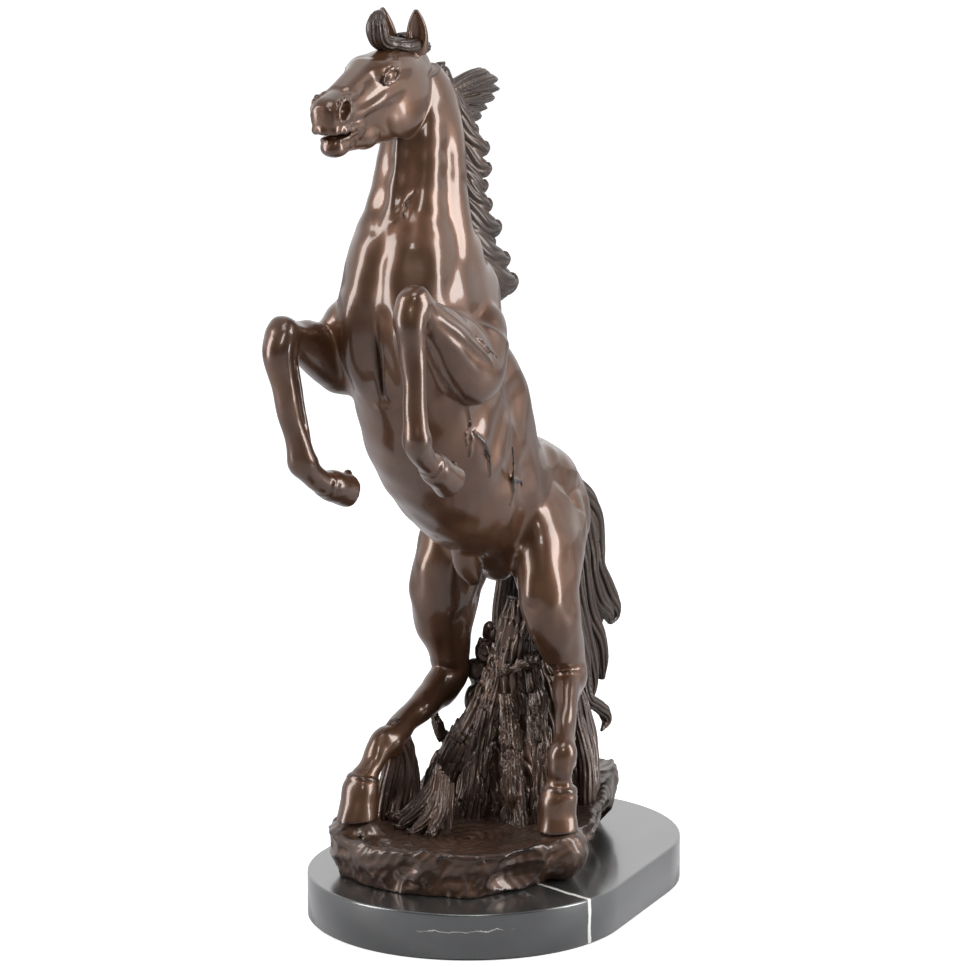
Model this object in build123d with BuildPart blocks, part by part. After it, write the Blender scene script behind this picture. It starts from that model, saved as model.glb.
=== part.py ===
"""Rearing bronze horse on a black marble plinth, with every casting and fixing as its own solid.

Frame: millimetres, +Z up. The origin is the middle of the underside, where the felt rests on
a table. The plinth is long along Y and the horse looks along -Y, turned a little towards -X.

The horse is laid out in its own axes: forward, left and up from a point on the underside.
"""
from build123d import *
from math import cos, radians, sin
import os

os.makedirs("parts", exist_ok=True)

# ---------------------------------------------------------------- driving dimensions
HORSE_YAW = 7.0                  # the horse looks this many degrees from -Y towards -X
HORSE_ORIGIN = (-2.0, -20.0)     # where the horse's own axes stand on the plinth

PLINTH_WIDTH = 203.6
PLINTH_LENGTH = 291.7
PLINTH_TOP = 30.0
PLINTH_EDGE = 1.2
FELT_THICKNESS = 1.0
FELT_MARGIN = 3.0

STUD_DIAMETER = 8.0
STUD_BOTTOM = 6.0
STUD_TOP = 46.0
STUD_CLEARANCE_HOLE = 9.0
STUD_POCKET_DIAMETER = 24.0
STUD_POCKET_DEPTH = 13.0
STUD_SPOTS = [(-38.0, -66.0), (22.0, -58.0), (-6.0, 66.0)]
BOSS_DIAMETER = 17.0
WASHER_DIAMETER = 20.0
WASHER_THICKNESS = 1.6
NUT_ACROSS_FLATS = 13.0
NUT_HEIGHT = 6.5

GROUND_TOP = 58.0
GROUND_WALL = 7.0
STUMP_TOP = 196.0
WALL = 7.0                       # bronze left around the cores of the trunk and the neck

DOWEL_RADIUS = 1.4               # pins in the seams of the shells
DOWEL_COVER = 4.8                # from the skin to the middle of such a pin
THROAT_DOWEL_ANGLE = 70.0        # from the side round to the pins beside the throat
LIMB_DOWEL_RADIUS = 3.0          # pins that carry a limb or the stump
TAIL_DOWEL_RADIUS = 1.6

LEFT_HOOF_SOLE = 62.0
RIGHT_HOOF_SOLE = 66.0

# ---------------------------------------------------------------- the horse's own axes
forward_x = -sin(radians(HORSE_YAW))
forward_y = -cos(radians(HORSE_YAW))
horse = Plane(origin=(*HORSE_ORIGIN, 0), x_dir=(forward_x, forward_y, 0), z_dir=(0, 0, 1))
FORWARD = horse.x_dir
LEFT = horse.y_dir
UP = horse.z_dir


def place(forward, left, up):
    """A point given in the horse's own axes."""
    return horse.from_local_coords(Vector(forward, left, up))


def square_to(start, end):
    """The plane through start that a straight bone towards end stands square to."""
    return Plane(origin=start, x_dir=LEFT.cross(end - start).cross(end - start), z_dir=end - start)


def pin(start, end, radius):
    """A plain round pin from start to end."""
    axis = square_to(start, end)
    with BuildPart() as rod:
        with BuildSketch(axis):
            Circle(radius)
        extrude(amount=(end - start).length)
    return rod.part


def bone(start, end, start_radius, middle_radius, end_radius):
    """A straight stretch of limb that swells or thins in its middle."""
    stretch = end - start
    with BuildPart() as piece:
        for share, radius in ((0, start_radius), (0.45, middle_radius), (1, end_radius)):
            with BuildSketch(square_to(start + stretch * share, end + stretch)):
                Circle(radius)
        loft()
    return piece.part


def limb(joints, swells):
    """Round joints with bones between them, from the trunk end down to the hoof's top edge."""
    with BuildPart() as piece:
        for centre, radius in joints:
            with Locations(centre):
                Sphere(radius)
        for (start, start_radius), (end, end_radius), swell in zip(joints, joints[1:], swells):
            add(bone(start, end, start_radius, swell, end_radius))
    return piece.part


def hoof(top, top_radius, sole, sole_radius):
    """A tapered hoof with a flat sole square to its own length."""
    with BuildPart() as piece:
        with BuildSketch(square_to(top, sole)):
            Circle(top_radius)
        with BuildSketch(square_to(sole, sole + (sole - top))):
            Circle(sole_radius)
        loft()
    return piece.part


def standing_hoof(top, top_radius, sole, sole_radius):
    """A tapered hoof whose sole lies level on the ground."""
    with BuildPart() as piece:
        with BuildSketch(Plane(origin=sole, x_dir=LEFT, z_dir=UP)):
            Circle(sole_radius)
        with BuildSketch(Plane(origin=top, x_dir=LEFT, z_dir=UP)):
            Circle(top_radius)
        loft()
    return piece.part


# ---------------------------------------------------------------- trunk and neck
# Each section runs from a point of the back line to a point of the belly line, both
# (forward, up), with the half width between the flanks.
TORSO_SECTIONS = [
    ((-99, 250), (-84, 228), 11),
    ((-92, 267), (-60, 209), 29),
    ((-72, 281), (-27, 201), 38),
    ((-44, 296), (14, 214), 41),
    ((-15, 318), (54, 243), 44),
    ((9, 344), (89, 288), 46),
    ((19, 374), (113, 334), 45),
    ((26, 402), (124, 370), 43),
    ((34, 428), (128, 402), 40),
    ((39, 451), (119, 435), 31),
    ((36, 476), (105, 470), 23),
    ((35, 502), (98, 502), 20),
    ((43, 526), (92, 522), 17),
    ((60, 544), (88, 533), 12),
]
BODY_SEAM = 8                    # the section where the neck casting is joined to the body
HEAD_SEAM = 11                   # the section where the head casting is joined to the neck
CORE_FIRST = 1
CORE_LAST = 12


def torso_plane(back, belly):
    """The plane of one section, looking towards the head."""
    top = place(back[0], 0, back[1])
    bottom = place(belly[0], 0, belly[1])
    return Plane(origin=(top + bottom) / 2, x_dir=LEFT, z_dir=LEFT.cross(top - bottom))


def torso(sections, shrink=0.0):
    """The outside of trunk and neck, or the core inside them when shrink is the wall."""
    with BuildPart() as piece:
        for back, belly, half_width in sections:
            half_depth = (Vector(*back) - Vector(*belly)).length / 2
            with BuildSketch(torso_plane(back, belly)):
                Ellipse(half_width - shrink, half_depth - shrink)
        loft()
    return piece.part


torso_outside = torso(TORSO_SECTIONS)
torso_core = torso(TORSO_SECTIONS[CORE_FIRST:CORE_LAST + 1], WALL)
body_seam = torso_plane(*TORSO_SECTIONS[BODY_SEAM][:2])
head_seam = torso_plane(*TORSO_SECTIONS[HEAD_SEAM][:2])


def seam_dowels(section, reach=5.0):
    """Pins that cross a seam inside the wall, at both sides and beside the throat, clear of the mane."""
    back, belly, half_width = TORSO_SECTIONS[section]
    half_depth = (Vector(*back) - Vector(*belly)).length / 2
    seam = torso_plane(back, belly)
    across = half_width - DOWEL_COVER
    deep = half_depth - DOWEL_COVER
    spots = []
    for angle in (0, -THROAT_DOWEL_ANGLE, THROAT_DOWEL_ANGLE - 180, 180):
        spots.append((across * cos(radians(angle)), deep * sin(radians(angle))))
    with BuildPart() as pins:
        with BuildSketch(seam.offset(-reach)):
            with Locations(*spots):
                Circle(DOWEL_RADIUS)
        extrude(amount=2 * reach)
    return pins.part


# ---------------------------------------------------------------- limbs
SHOULDER_RADIUS = 16.0
FOREARM_RADIUS = 15.0
KNEE_RADIUS = 9.5
CANNON_RADIUS = 5.8
FETLOCK_RADIUS = 7.4
PASTERN_RADIUS = 5.6
CORONET_RADIUS = 7.6
HIP_RADIUS = 23.0
THIGH_RADIUS = 24.0
STIFLE_RADIUS = 22.5
GASKIN_RADIUS = 18.0
HOCK_RADIUS = 12.0


def foreleg(shoulder, elbow, knee, fetlock, coronet, sole):
    """A raised foreleg: forearm up to the knee, cannon down, hoof folded back."""
    joints = [
        (shoulder, SHOULDER_RADIUS),
        (elbow, FOREARM_RADIUS),
        (knee, KNEE_RADIUS),
        (fetlock, FETLOCK_RADIUS),
        (coronet, CORONET_RADIUS),
    ]
    swells = [SHOULDER_RADIUS, FOREARM_RADIUS, CANNON_RADIUS, PASTERN_RADIUS]
    with BuildPart() as leg:
        add(limb(joints, swells))
        add(hoof(coronet, CORONET_RADIUS + 0.8, sole, 11.0))
        add(torso_outside, mode=Mode.SUBTRACT)
    return leg.part


def hind_leg(hip, stifle, hock, fetlock, coronet, sole):
    """A standing hind leg: heavy thigh, gaskin, hock, cannon, and a hoof flat on the ground."""
    joints = [
        (hip, HIP_RADIUS),
        (stifle, STIFLE_RADIUS),
        (hock, HOCK_RADIUS),
        (fetlock, FETLOCK_RADIUS + 1.2),
        (coronet, CORONET_RADIUS + 1.0),
    ]
    swells = [THIGH_RADIUS, GASKIN_RADIUS, CANNON_RADIUS + 1.2, PASTERN_RADIUS + 1.2]
    with BuildPart() as leg:
        add(limb(joints, swells))
        add(standing_hoof(coronet, CORONET_RADIUS + 2.0, sole, 12.0))
        add(torso_outside, mode=Mode.SUBTRACT)
    return leg.part


left_foreleg_points = [
    place(104, 36, 384),
    place(80, 47, 354),
    place(148, 40, 416),
    place(151, 44, 331),
    place(132, 44, 312),
    place(110, 44, 300),
]
right_foreleg_points = [
    place(106, -33, 384),
    place(84, -43, 356),
    place(166, -43, 389),
    place(152, -35, 309),
    place(131, -31, 293),
    place(111, -29, 287),
]
left_hind_points = [
    place(-42, 22, 243),
    place(-6, 44, 207),
    place(-32, 46, 153),
    place(17, 68, 111),
    place(17, 67, 88),
    place(18, 66, LEFT_HOOF_SOLE),
]
right_hind_points = [
    place(-42, -22, 243),
    place(-16, -43, 198),
    place(-33, -42, 133),
    place(44, -45, 110),
    place(65, -48, 88),
    place(70, -49, RIGHT_HOOF_SOLE),
]

# Pins from the inside of the trunk out into each limb, at its thickest place.
limb_dowel_ends = [
    (place(92, 26, 378), place(92, 50, 369)),
    (place(92, -26, 378), place(92, -50, 369)),
    (place(-34, 24, 238), place(-16, 44, 218)),
    (place(-34, -24, 238), place(-22, -44, 214)),
]


def all_limb_dowels():
    """The four limb pins together."""
    with BuildPart() as pins:
        for start, end in limb_dowel_ends:
            add(pin(start, end, LIMB_DOWEL_RADIUS))
    return pins.part


leg_dowels_solid = all_limb_dowels()
HOOF_PIN_REACH = 14.0             # how far the hoof pins go into the ground and into the hoof


def all_hoof_pins():
    """Upright pins from the ground casting into both standing hooves."""
    with BuildPart() as pins:
        for sole in (left_hind_points[-1], right_hind_points[-1]):
            add(pin(sole - UP * HOOF_PIN_REACH, sole + UP * HOOF_PIN_REACH, LIMB_DOWEL_RADIUS))
    return pins.part


hoof_pins_solid = all_hoof_pins()

with BuildPart() as left_foreleg:
    add(foreleg(*left_foreleg_points))
    add(leg_dowels_solid, mode=Mode.SUBTRACT)

with BuildPart() as right_foreleg:
    add(foreleg(*right_foreleg_points))
    add(leg_dowels_solid, mode=Mode.SUBTRACT)

middle_plane = Plane(origin=place(0, 0, 0), x_dir=FORWARD, z_dir=LEFT)
LEG_GAP = 0.5                    # each thigh stops this far from the middle of the horse

with BuildPart() as left_hind_leg:
    add(hind_leg(*left_hind_points))
    split(bisect_by=middle_plane.offset(LEG_GAP), keep=Keep.TOP)
    add(leg_dowels_solid, mode=Mode.SUBTRACT)
    add(hoof_pins_solid, mode=Mode.SUBTRACT)

with BuildPart() as right_hind_leg:
    add(hind_leg(*right_hind_points))
    split(bisect_by=middle_plane.offset(-LEG_GAP), keep=Keep.BOTTOM)
    add(leg_dowels_solid, mode=Mode.SUBTRACT)
    add(hoof_pins_solid, mode=Mode.SUBTRACT)


with BuildPart() as leg_dowels:
    add(leg_dowels_solid)

with BuildPart() as hoof_pins:
    add(hoof_pins_solid)

# ---------------------------------------------------------------- body and neck shells
TAIL_ROOT = place(-88, 0, 258)
TAIL_OUT = place(-106, 0, 253)
SHEATH_TIP = place(22, 0, 212)

with BuildPart() as tail_dowel:
    add(pin(TAIL_ROOT, TAIL_OUT, TAIL_DOWEL_RADIUS))

body_seam_pins = seam_dowels(BODY_SEAM)
head_seam_pins = seam_dowels(HEAD_SEAM)

with BuildPart() as neck_dowels:
    add(body_seam_pins)

with BuildPart() as head_dowels:
    add(head_seam_pins)

with BuildPart() as body_casting:
    add(torso_outside)
    add(bone(place(-6, 0, 222), SHEATH_TIP, 10, 9, 4))
    with Locations(SHEATH_TIP):
        Sphere(4)
    add(torso_core, mode=Mode.SUBTRACT)
    split(bisect_by=body_seam, keep=Keep.BOTTOM)
    add(body_seam_pins, mode=Mode.SUBTRACT)
    add(leg_dowels_solid, mode=Mode.SUBTRACT)
    add(left_hind_leg.part, mode=Mode.SUBTRACT)
    add(right_hind_leg.part, mode=Mode.SUBTRACT)
    add(tail_dowel.part, mode=Mode.SUBTRACT)

# ---------------------------------------------------------------- head
HEAD_YAW = 2.0                   # the head looks this much less to the side than the trunk
HEAD_DROP = 9.0                  # and the nose is this far below level
POLL = place(80, -4, 555)

head_forward = FORWARD.rotate(Axis.Z, HEAD_YAW)
head_left = LEFT.rotate(Axis.Z, HEAD_YAW)
nose_way = head_forward * cos(radians(HEAD_DROP)) - UP * sin(radians(HEAD_DROP))
head = Plane(origin=POLL, x_dir=nose_way, z_dir=nose_way.cross(head_left))

# Distance towards the nose, height of the forehead line, height of the jaw line, half width.
HEAD_SECTIONS = [
    (-15, -12, -34, 9),
    (-6, -2, -42, 15),
    (8, 2, -47, 17.5),
    (24, 3, -49, 18),
    (38, 1, -45, 17.5),
    (52, -1, -39, 15),
    (68, -2, -36, 12.5),
    (84, -4, -37, 11.5),
    (97, -6, -38, 11),
    (106, -10, -36, 9),
    (110, -15, -30, 5),
]
MOUTH_CORNER = (80, -26)         # along the head and above the forehead line's start
MOUTH_GAPE = 7.0
FRONT_OF_MOUTH = 125.0
HALF_HEAD = 25.0                 # more than half the head's width
EYE = (38, 15.0, -7)             # along, aside, above
EYE_RADIUS = 5.5
NOSTRIL = (101, 9.5, -14)
NOSTRIL_RADIUS = 3.2


def in_head(along, left, up):
    """A point given along the head from the poll, to its left and above."""
    return head.from_local_coords(Vector(along, left, up))


def ear(side):
    """One pointed ear, hollow to the front."""
    root = in_head(4, side * 10, -3)
    tip = in_head(12, side * 12, 27)
    with BuildPart() as piece:
        add(bone(root, tip, 5.0, 5.5, 0.8))
        hollow_way = head_forward * 4
        add(bone(root + hollow_way, tip + hollow_way * 0.5, 3.4, 4.0, 0.5), mode=Mode.SUBTRACT)
    return piece.part


with BuildPart() as nape:
    add(torso_outside)
    split(bisect_by=head_seam, keep=Keep.TOP)

with BuildPart() as head_casting:
    for along, forehead, jaw, half_width in HEAD_SECTIONS:
        middle = in_head(along, 0, (forehead + jaw) / 2)
        with BuildSketch(Plane(origin=middle, x_dir=head_left, z_dir=nose_way)):
            Ellipse(half_width, (forehead - jaw) / 2)
    loft()
    add(nape.part)
    for side in (1, -1):
        add(ear(side))
        with Locations(in_head(EYE[0], side * EYE[1], EYE[2])):
            Sphere(EYE_RADIUS)
        with Locations(in_head(NOSTRIL[0], side * NOSTRIL[1], NOSTRIL[2])):
            Sphere(NOSTRIL_RADIUS, mode=Mode.SUBTRACT)
    with BuildSketch(Plane(origin=POLL, x_dir=nose_way, z_dir=head_left)):
        with BuildLine():
            Polyline(
                (MOUTH_CORNER[0], -MOUTH_CORNER[1]),
                (FRONT_OF_MOUTH, -MOUTH_CORNER[1]),
                (FRONT_OF_MOUTH, -MOUTH_CORNER[1] + MOUTH_GAPE),
                close=True,
            )
        make_face()
    extrude(amount=HALF_HEAD, both=True, mode=Mode.SUBTRACT)
    add(torso_core, mode=Mode.SUBTRACT)
    add(head_seam_pins, mode=Mode.SUBTRACT)

with BuildPart() as neck_casting:
    add(torso_outside)
    add(torso_core, mode=Mode.SUBTRACT)
    split(bisect_by=body_seam, keep=Keep.TOP)
    split(bisect_by=head_seam, keep=Keep.BOTTOM)
    add(head_casting.part, mode=Mode.SUBTRACT)
    add(body_seam_pins, mode=Mode.SUBTRACT)
    add(head_seam_pins, mode=Mode.SUBTRACT)

# ---------------------------------------------------------------- hair
# The mane's thickest line from the poll to the withers: forward, left, up, depth and width.
MANE_SECTIONS = [
    (48, 2, 546, 8, 5),
    (38, 4, 530, 12, 8),
    (29, 6, 505, 15, 9),
    (27, 7, 476, 16, 9),
    (26, 8, 450, 16, 9),
    (17, 8, 424, 14, 8),
]
FLYING_LOCK = [(40, 3, 529, 9), (4, 6, 533, 5)]
FORELOCK = [(84, -4, 556, 6), (102, -4, 558, 5.5), (116, -3, 566, 5), (113, -3, 578, 2)]
TAIL_LINE = [
    (-94, 0, 257, 8),
    (-108, 0, 251, 10),
    (-121, 1, 232, 13),
    (-128, 3, 205, 15),
    (-128, 5, 172, 17),
    (-132, 4, 144, 12),
    (-138, 2, 118, 3),
]


def strand(stations):
    """Round stretches of hair strung along a line of (forward, left, up, radius)."""
    with BuildPart() as piece:
        for forward, left, up, radius in stations:
            with Locations(place(forward, left, up)):
                Sphere(radius)
        for start, end in zip(stations, stations[1:]):
            middle_radius = (start[3] + end[3]) / 2
            add(bone(place(*start[:3]), place(*end[:3]), start[3], middle_radius, end[3]))
    return piece.part


with BuildPart() as mane:
    for forward, left, up, depth, width in MANE_SECTIONS:
        with BuildSketch(Plane(origin=place(forward, left, up), x_dir=LEFT, z_dir=UP)):
            Ellipse(width, depth)
    loft()
    add(strand(FLYING_LOCK))
    add(torso_outside, mode=Mode.SUBTRACT)
    add(head_casting.part, mode=Mode.SUBTRACT)

with BuildPart() as forelock:
    add(strand(FORELOCK))
    add(head_casting.part, mode=Mode.SUBTRACT)
    add(torso_outside, mode=Mode.SUBTRACT)
    add(mane.part, mode=Mode.SUBTRACT)

with BuildPart() as tail:
    add(strand(TAIL_LINE))
    add(torso_outside, mode=Mode.SUBTRACT)
    add(left_hind_leg.part, mode=Mode.SUBTRACT)
    add(right_hind_leg.part, mode=Mode.SUBTRACT)
    add(tail_dowel.part, mode=Mode.SUBTRACT)

# ---------------------------------------------------------------- ground under the hooves
# Outline of the ground casting where it meets the plinth, going round from the front left.
GROUND_FOOT = [
    (-68, -96), (-42, -108), (-16, -116), (6, -116), (27, -112), (44, -88), (56, -62),
    (55, -27), (52, 11), (45, 48), (38, 84), (20, 106), (-18, 108), (-48, 84), (-62, 44),
    (-60, 4), (-68, -44),
]
# The same corners at the rim, where the rock leans out over the plinth.
GROUND_RIM = [
    (-82, -90), (-49, -110), (-18, -112), (8, -110), (33, -106), (54, -84), (70, -52),
    (72, -18), (60, 20), (52, 60), (45, 94), (24, 116), (-20, 117), (-52, 94), (-68, 50),
    (-69, 6), (-82, -44),
]
HOOF_MOUND_RADIUS = 12.6
MOUND_SPREAD = 0.5               # how fast a mound widens downwards


def mound(sole):
    """The little rise of ground under one hoof."""
    height = sole.Z - GROUND_TOP
    with BuildPart() as rise:
        with BuildSketch(Plane.XY.offset(GROUND_TOP)):
            with Locations((sole.X, sole.Y)):
                Circle(HOOF_MOUND_RADIUS + MOUND_SPREAD * height)
        with BuildSketch(Plane.XY.offset(sole.Z)):
            with Locations((sole.X, sole.Y)):
                Circle(HOOF_MOUND_RADIUS)
        loft()
    return rise.part


def studs(diameter):
    """Upright rods of one diameter at the three fixing spots."""
    with BuildPart() as rods:
        with BuildSketch(Plane.XY.offset(STUD_BOTTOM)):
            with Locations(*STUD_SPOTS):
                Circle(diameter / 2)
        extrude(amount=STUD_TOP - STUD_BOTTOM)
    return rods.part


STUMP_DOWEL_DEPTH = 5.0          # how far the stump pins go into the ground casting
stump_dowel_spots = [(-52, 7), (-14, 7)]

with BuildPart() as stump_dowels:
    with BuildSketch(Plane.XY.offset(GROUND_TOP - STUMP_DOWEL_DEPTH)):
        for forward, left in stump_dowel_spots:
            spot = place(forward, left, 0)
            with Locations((spot.X, spot.Y)):
                Circle(LIMB_DOWEL_RADIUS)
    extrude(amount=4 * STUMP_DOWEL_DEPTH)

ceiling = GROUND_TOP - GROUND_WALL - PLINTH_TOP

with BuildPart() as ground_hollow:
    with BuildSketch(Plane.XY.offset(PLINTH_TOP)):
        with BuildLine():
            Polyline(*GROUND_FOOT, close=True)
        make_face()
        offset(amount=-GROUND_WALL)
        with Locations(*STUD_SPOTS):
            Circle(BOSS_DIAMETER / 2, mode=Mode.SUBTRACT)
    extrude(amount=ceiling)

with BuildPart() as ground_casting:
    for points, height in ((GROUND_FOOT, PLINTH_TOP), (GROUND_RIM, GROUND_TOP)):
        with BuildSketch(Plane.XY.offset(height)):
            with BuildLine():
                Polyline(*points, close=True)
            make_face()
    loft(ruled=True)
    for sole in (left_hind_points[-1], right_hind_points[-1]):
        add(mound(sole))
    add(ground_hollow.part, mode=Mode.SUBTRACT)
    add(studs(STUD_DIAMETER), mode=Mode.SUBTRACT)
    add(stump_dowels.part, mode=Mode.SUBTRACT)
    add(hoof_pins_solid, mode=Mode.SUBTRACT)

# ---------------------------------------------------------------- tree stump and grass
# Height, centre forward and left, half width across and half depth, from the roots upwards.
STUMP_SECTIONS = [
    (GROUND_TOP, -34, 8, 50, 44),
    (72, -36, 8, 42, 38),
    (92, -38, 8, 31, 30),
    (120, -38, 8, 24, 25),
    (150, -36, 7, 19, 20),
    (178, -33, 6, 13, 14),
    (STUMP_TOP, -31, 5, 8, 9),
]
STUMP_FLUTES = 9
FLUTE_DEPTH = 0.16

with BuildPart() as tree_stump:
    for height, forward, left, half_across, half_deep in STUMP_SECTIONS:
        level = Plane(origin=place(forward, left, height), x_dir=LEFT, z_dir=UP)
        with BuildSketch(level):
            with BuildLine():
                ring = []
                for corner in range(2 * STUMP_FLUTES):
                    angle = radians(360 * corner / (2 * STUMP_FLUTES))
                    swell = 1 - FLUTE_DEPTH * (corner % 2)
                    ring.append((half_across * swell * cos(angle), half_deep * swell * sin(angle)))
                Spline(*ring, periodic=True)
            make_face()
    loft()
    add(torso_outside, mode=Mode.SUBTRACT)
    add(body_casting.part, mode=Mode.SUBTRACT)
    add(left_hind_leg.part, mode=Mode.SUBTRACT)
    add(right_hind_leg.part, mode=Mode.SUBTRACT)
    add(tail.part, mode=Mode.SUBTRACT)
    add(mound(left_hind_points[-1]), mode=Mode.SUBTRACT)
    add(mound(right_hind_points[-1]), mode=Mode.SUBTRACT)
    add(stump_dowels.part, mode=Mode.SUBTRACT)

# Upright tufts: foot and head of each, in the horse's axes, with their radii.
TUFTS = [
    ((35, -50, GROUND_TOP), (41, -46, 106), 10, 5),
    ((40, -12, GROUND_TOP), (22, -14, 92), 9, 4),
    ((48, -22, GROUND_TOP), (46, -22, 76), 8, 3),
    ((-70, 38, GROUND_TOP), (-72, 40, 96), 11, 5),
]

with BuildPart() as grass_tufts:
    for foot, top, foot_radius, top_radius in TUFTS:
        with BuildSketch(Plane(origin=place(*foot), x_dir=LEFT, z_dir=UP)):
            Circle(foot_radius)
        with BuildSketch(Plane(origin=place(*top), x_dir=LEFT, z_dir=UP)):
            Circle(top_radius)
        loft()
    add(tree_stump.part, mode=Mode.SUBTRACT)
    add(left_hind_leg.part, mode=Mode.SUBTRACT)
    add(right_hind_leg.part, mode=Mode.SUBTRACT)
    add(mound(left_hind_points[-1]), mode=Mode.SUBTRACT)
    add(mound(right_hind_points[-1]), mode=Mode.SUBTRACT)

# ---------------------------------------------------------------- plinth and its fixings
straight_length = PLINTH_LENGTH - PLINTH_WIDTH


def stadium(margin, height):
    """The plinth's outline with round ends, drawn in by the margin, at that height."""
    with BuildSketch(Plane.XY.offset(height)) as shape:
        SlotCenterToCenter(straight_length, PLINTH_WIDTH - 2 * margin, rotation=90)
    return shape.sketch


with BuildPart() as felt_sheet:
    add(stadium(FELT_MARGIN, 0))
    extrude(amount=FELT_THICKNESS)

with BuildPart() as plinth:
    add(stadium(0, FELT_THICKNESS))
    extrude(amount=PLINTH_TOP - FELT_THICKNESS)
    chamfer(plinth.edges().group_by(Axis.Z)[-1], PLINTH_EDGE)
    with Locations(Plane.XY.offset(FELT_THICKNESS)):
        with Locations(*STUD_SPOTS):
            with Locations(Rotation(180, 0, 0)):
                CounterBoreHole(STUD_CLEARANCE_HOLE / 2, STUD_POCKET_DIAMETER / 2, STUD_POCKET_DEPTH)

with BuildPart() as mounting_studs:
    add(studs(STUD_DIAMETER))

pocket_ceiling = FELT_THICKNESS + STUD_POCKET_DEPTH

with BuildPart() as stud_washers:
    with BuildSketch(Plane.XY.offset(pocket_ceiling - WASHER_THICKNESS)):
        with Locations(*STUD_SPOTS):
            Circle(WASHER_DIAMETER / 2)
            Circle(STUD_CLEARANCE_HOLE / 2, mode=Mode.SUBTRACT)
    extrude(amount=WASHER_THICKNESS)

with BuildPart() as stud_nuts:
    with BuildSketch(Plane.XY.offset(pocket_ceiling - WASHER_THICKNESS - NUT_HEIGHT)):
        with Locations(*STUD_SPOTS):
            RegularPolygon(NUT_ACROSS_FLATS / 2, 6, major_radius=False)
            Circle(STUD_DIAMETER / 2, mode=Mode.SUBTRACT)
    extrude(amount=NUT_HEIGHT)

# ---------------------------------------------------------------- one file per piece
pieces = {
    "plinth": plinth,
    "felt_sheet": felt_sheet,
    "mounting_studs": mounting_studs,
    "stud_washers": stud_washers,
    "stud_nuts": stud_nuts,
    "ground_casting": ground_casting,
    "tree_stump": tree_stump,
    "stump_dowels": stump_dowels,
    "grass_tufts": grass_tufts,
    "hoof_pins": hoof_pins,
    "left_hind_leg": left_hind_leg,
    "right_hind_leg": right_hind_leg,
    "left_foreleg": left_foreleg,
    "right_foreleg": right_foreleg,
    "leg_dowels": leg_dowels,
    "body_casting": body_casting,
    "neck_casting": neck_casting,
    "neck_dowels": neck_dowels,
    "head_casting": head_casting,
    "head_dowels": head_dowels,
    "forelock": forelock,
    "mane": mane,
    "tail": tail,
    "tail_dowel": tail_dowel,
}

for name, piece in pieces.items():
    piece.part.label = name
    export_step(piece.part, f"parts/{name}.step")
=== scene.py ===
"""Looks of the rearing bronze horse: every casting is sculpted as a distance field and meshed.

Lengths inside the sculpture are millimetres in the horse's own axes (forward, left, up), which
stand on the plinth as in the CAD model. Finished meshes are moved to the row frame in metres.
"""

import math

import bpy
import numpy as np
import openvdb as vdb
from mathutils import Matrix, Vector


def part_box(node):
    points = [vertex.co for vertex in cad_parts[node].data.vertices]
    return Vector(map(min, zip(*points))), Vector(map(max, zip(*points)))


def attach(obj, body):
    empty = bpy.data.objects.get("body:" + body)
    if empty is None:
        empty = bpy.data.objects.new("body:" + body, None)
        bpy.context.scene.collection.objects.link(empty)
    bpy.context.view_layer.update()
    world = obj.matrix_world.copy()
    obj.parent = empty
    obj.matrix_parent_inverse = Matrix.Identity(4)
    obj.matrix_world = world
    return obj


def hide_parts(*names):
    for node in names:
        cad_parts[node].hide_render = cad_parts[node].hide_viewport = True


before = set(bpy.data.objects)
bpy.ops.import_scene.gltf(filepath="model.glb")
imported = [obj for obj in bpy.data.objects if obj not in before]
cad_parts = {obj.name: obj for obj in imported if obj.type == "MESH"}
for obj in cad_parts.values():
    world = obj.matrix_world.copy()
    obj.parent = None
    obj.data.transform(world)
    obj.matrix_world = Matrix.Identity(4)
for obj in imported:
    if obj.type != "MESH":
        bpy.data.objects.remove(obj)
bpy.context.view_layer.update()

# ------------------------------------------------------------------ the horse's own axes
MM = 0.001
HORSE_YAW = math.radians(7.0)
HORSE_ORIGIN = np.array([-2.0, -20.0, 0.0])
FORWARD = np.array([-math.sin(HORSE_YAW), -math.cos(HORSE_YAW), 0.0])
LEFT = np.array([math.cos(HORSE_YAW), -math.sin(HORSE_YAW), 0.0])
UP = np.array([0.0, 0.0, 1.0])
HORSE_AXES = np.array([FORWARD, LEFT, UP])


def vec(*numbers):
    return np.array(numbers, float)


def unit(v):
    return v / np.linalg.norm(v)


# ------------------------------------------------------------------ shapes as distance functions
FAR = 100.0
POINTS_AT_ONCE = 40000


class Shape:
    """A distance function and the box that it lives in."""

    def __init__(self, distance, low, high):
        self.distance = distance
        self.low = low
        self.high = high


def cone(a, b, radius_a, radius_b):
    """A straight stretch with round ends, tapering from radius_a to radius_b."""
    a, b = vec(*a), vec(*b)
    axis = b - a
    length2 = max(axis @ axis, 1e-6)
    taper = radius_a - radius_b
    slant2 = max(length2 - taper * taper, 1e-6)

    def distance(p):
        q = p - a
        y = q @ axis
        z = y - length2
        across = q * length2 - y[:, None] * axis
        x2 = np.einsum("ij,ij->i", across, across)
        y2 = y * y * length2
        z2 = z * z * length2
        k = np.sign(taper) * taper * taper * x2
        beyond_b = np.sqrt(x2 + z2) / length2 - radius_b
        beyond_a = np.sqrt(x2 + y2) / length2 - radius_a
        beside = (np.sqrt(x2 * slant2 / length2) + y * taper) / length2 - radius_a
        inner = np.where(np.sign(y) * slant2 * y2 < k, beyond_a, beside)
        return np.where(np.sign(z) * slant2 * z2 > k, beyond_b, inner)

    radius = max(radius_a, radius_b)
    return Shape(distance, np.minimum(a, b) - radius, np.maximum(a, b) + radius)


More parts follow.
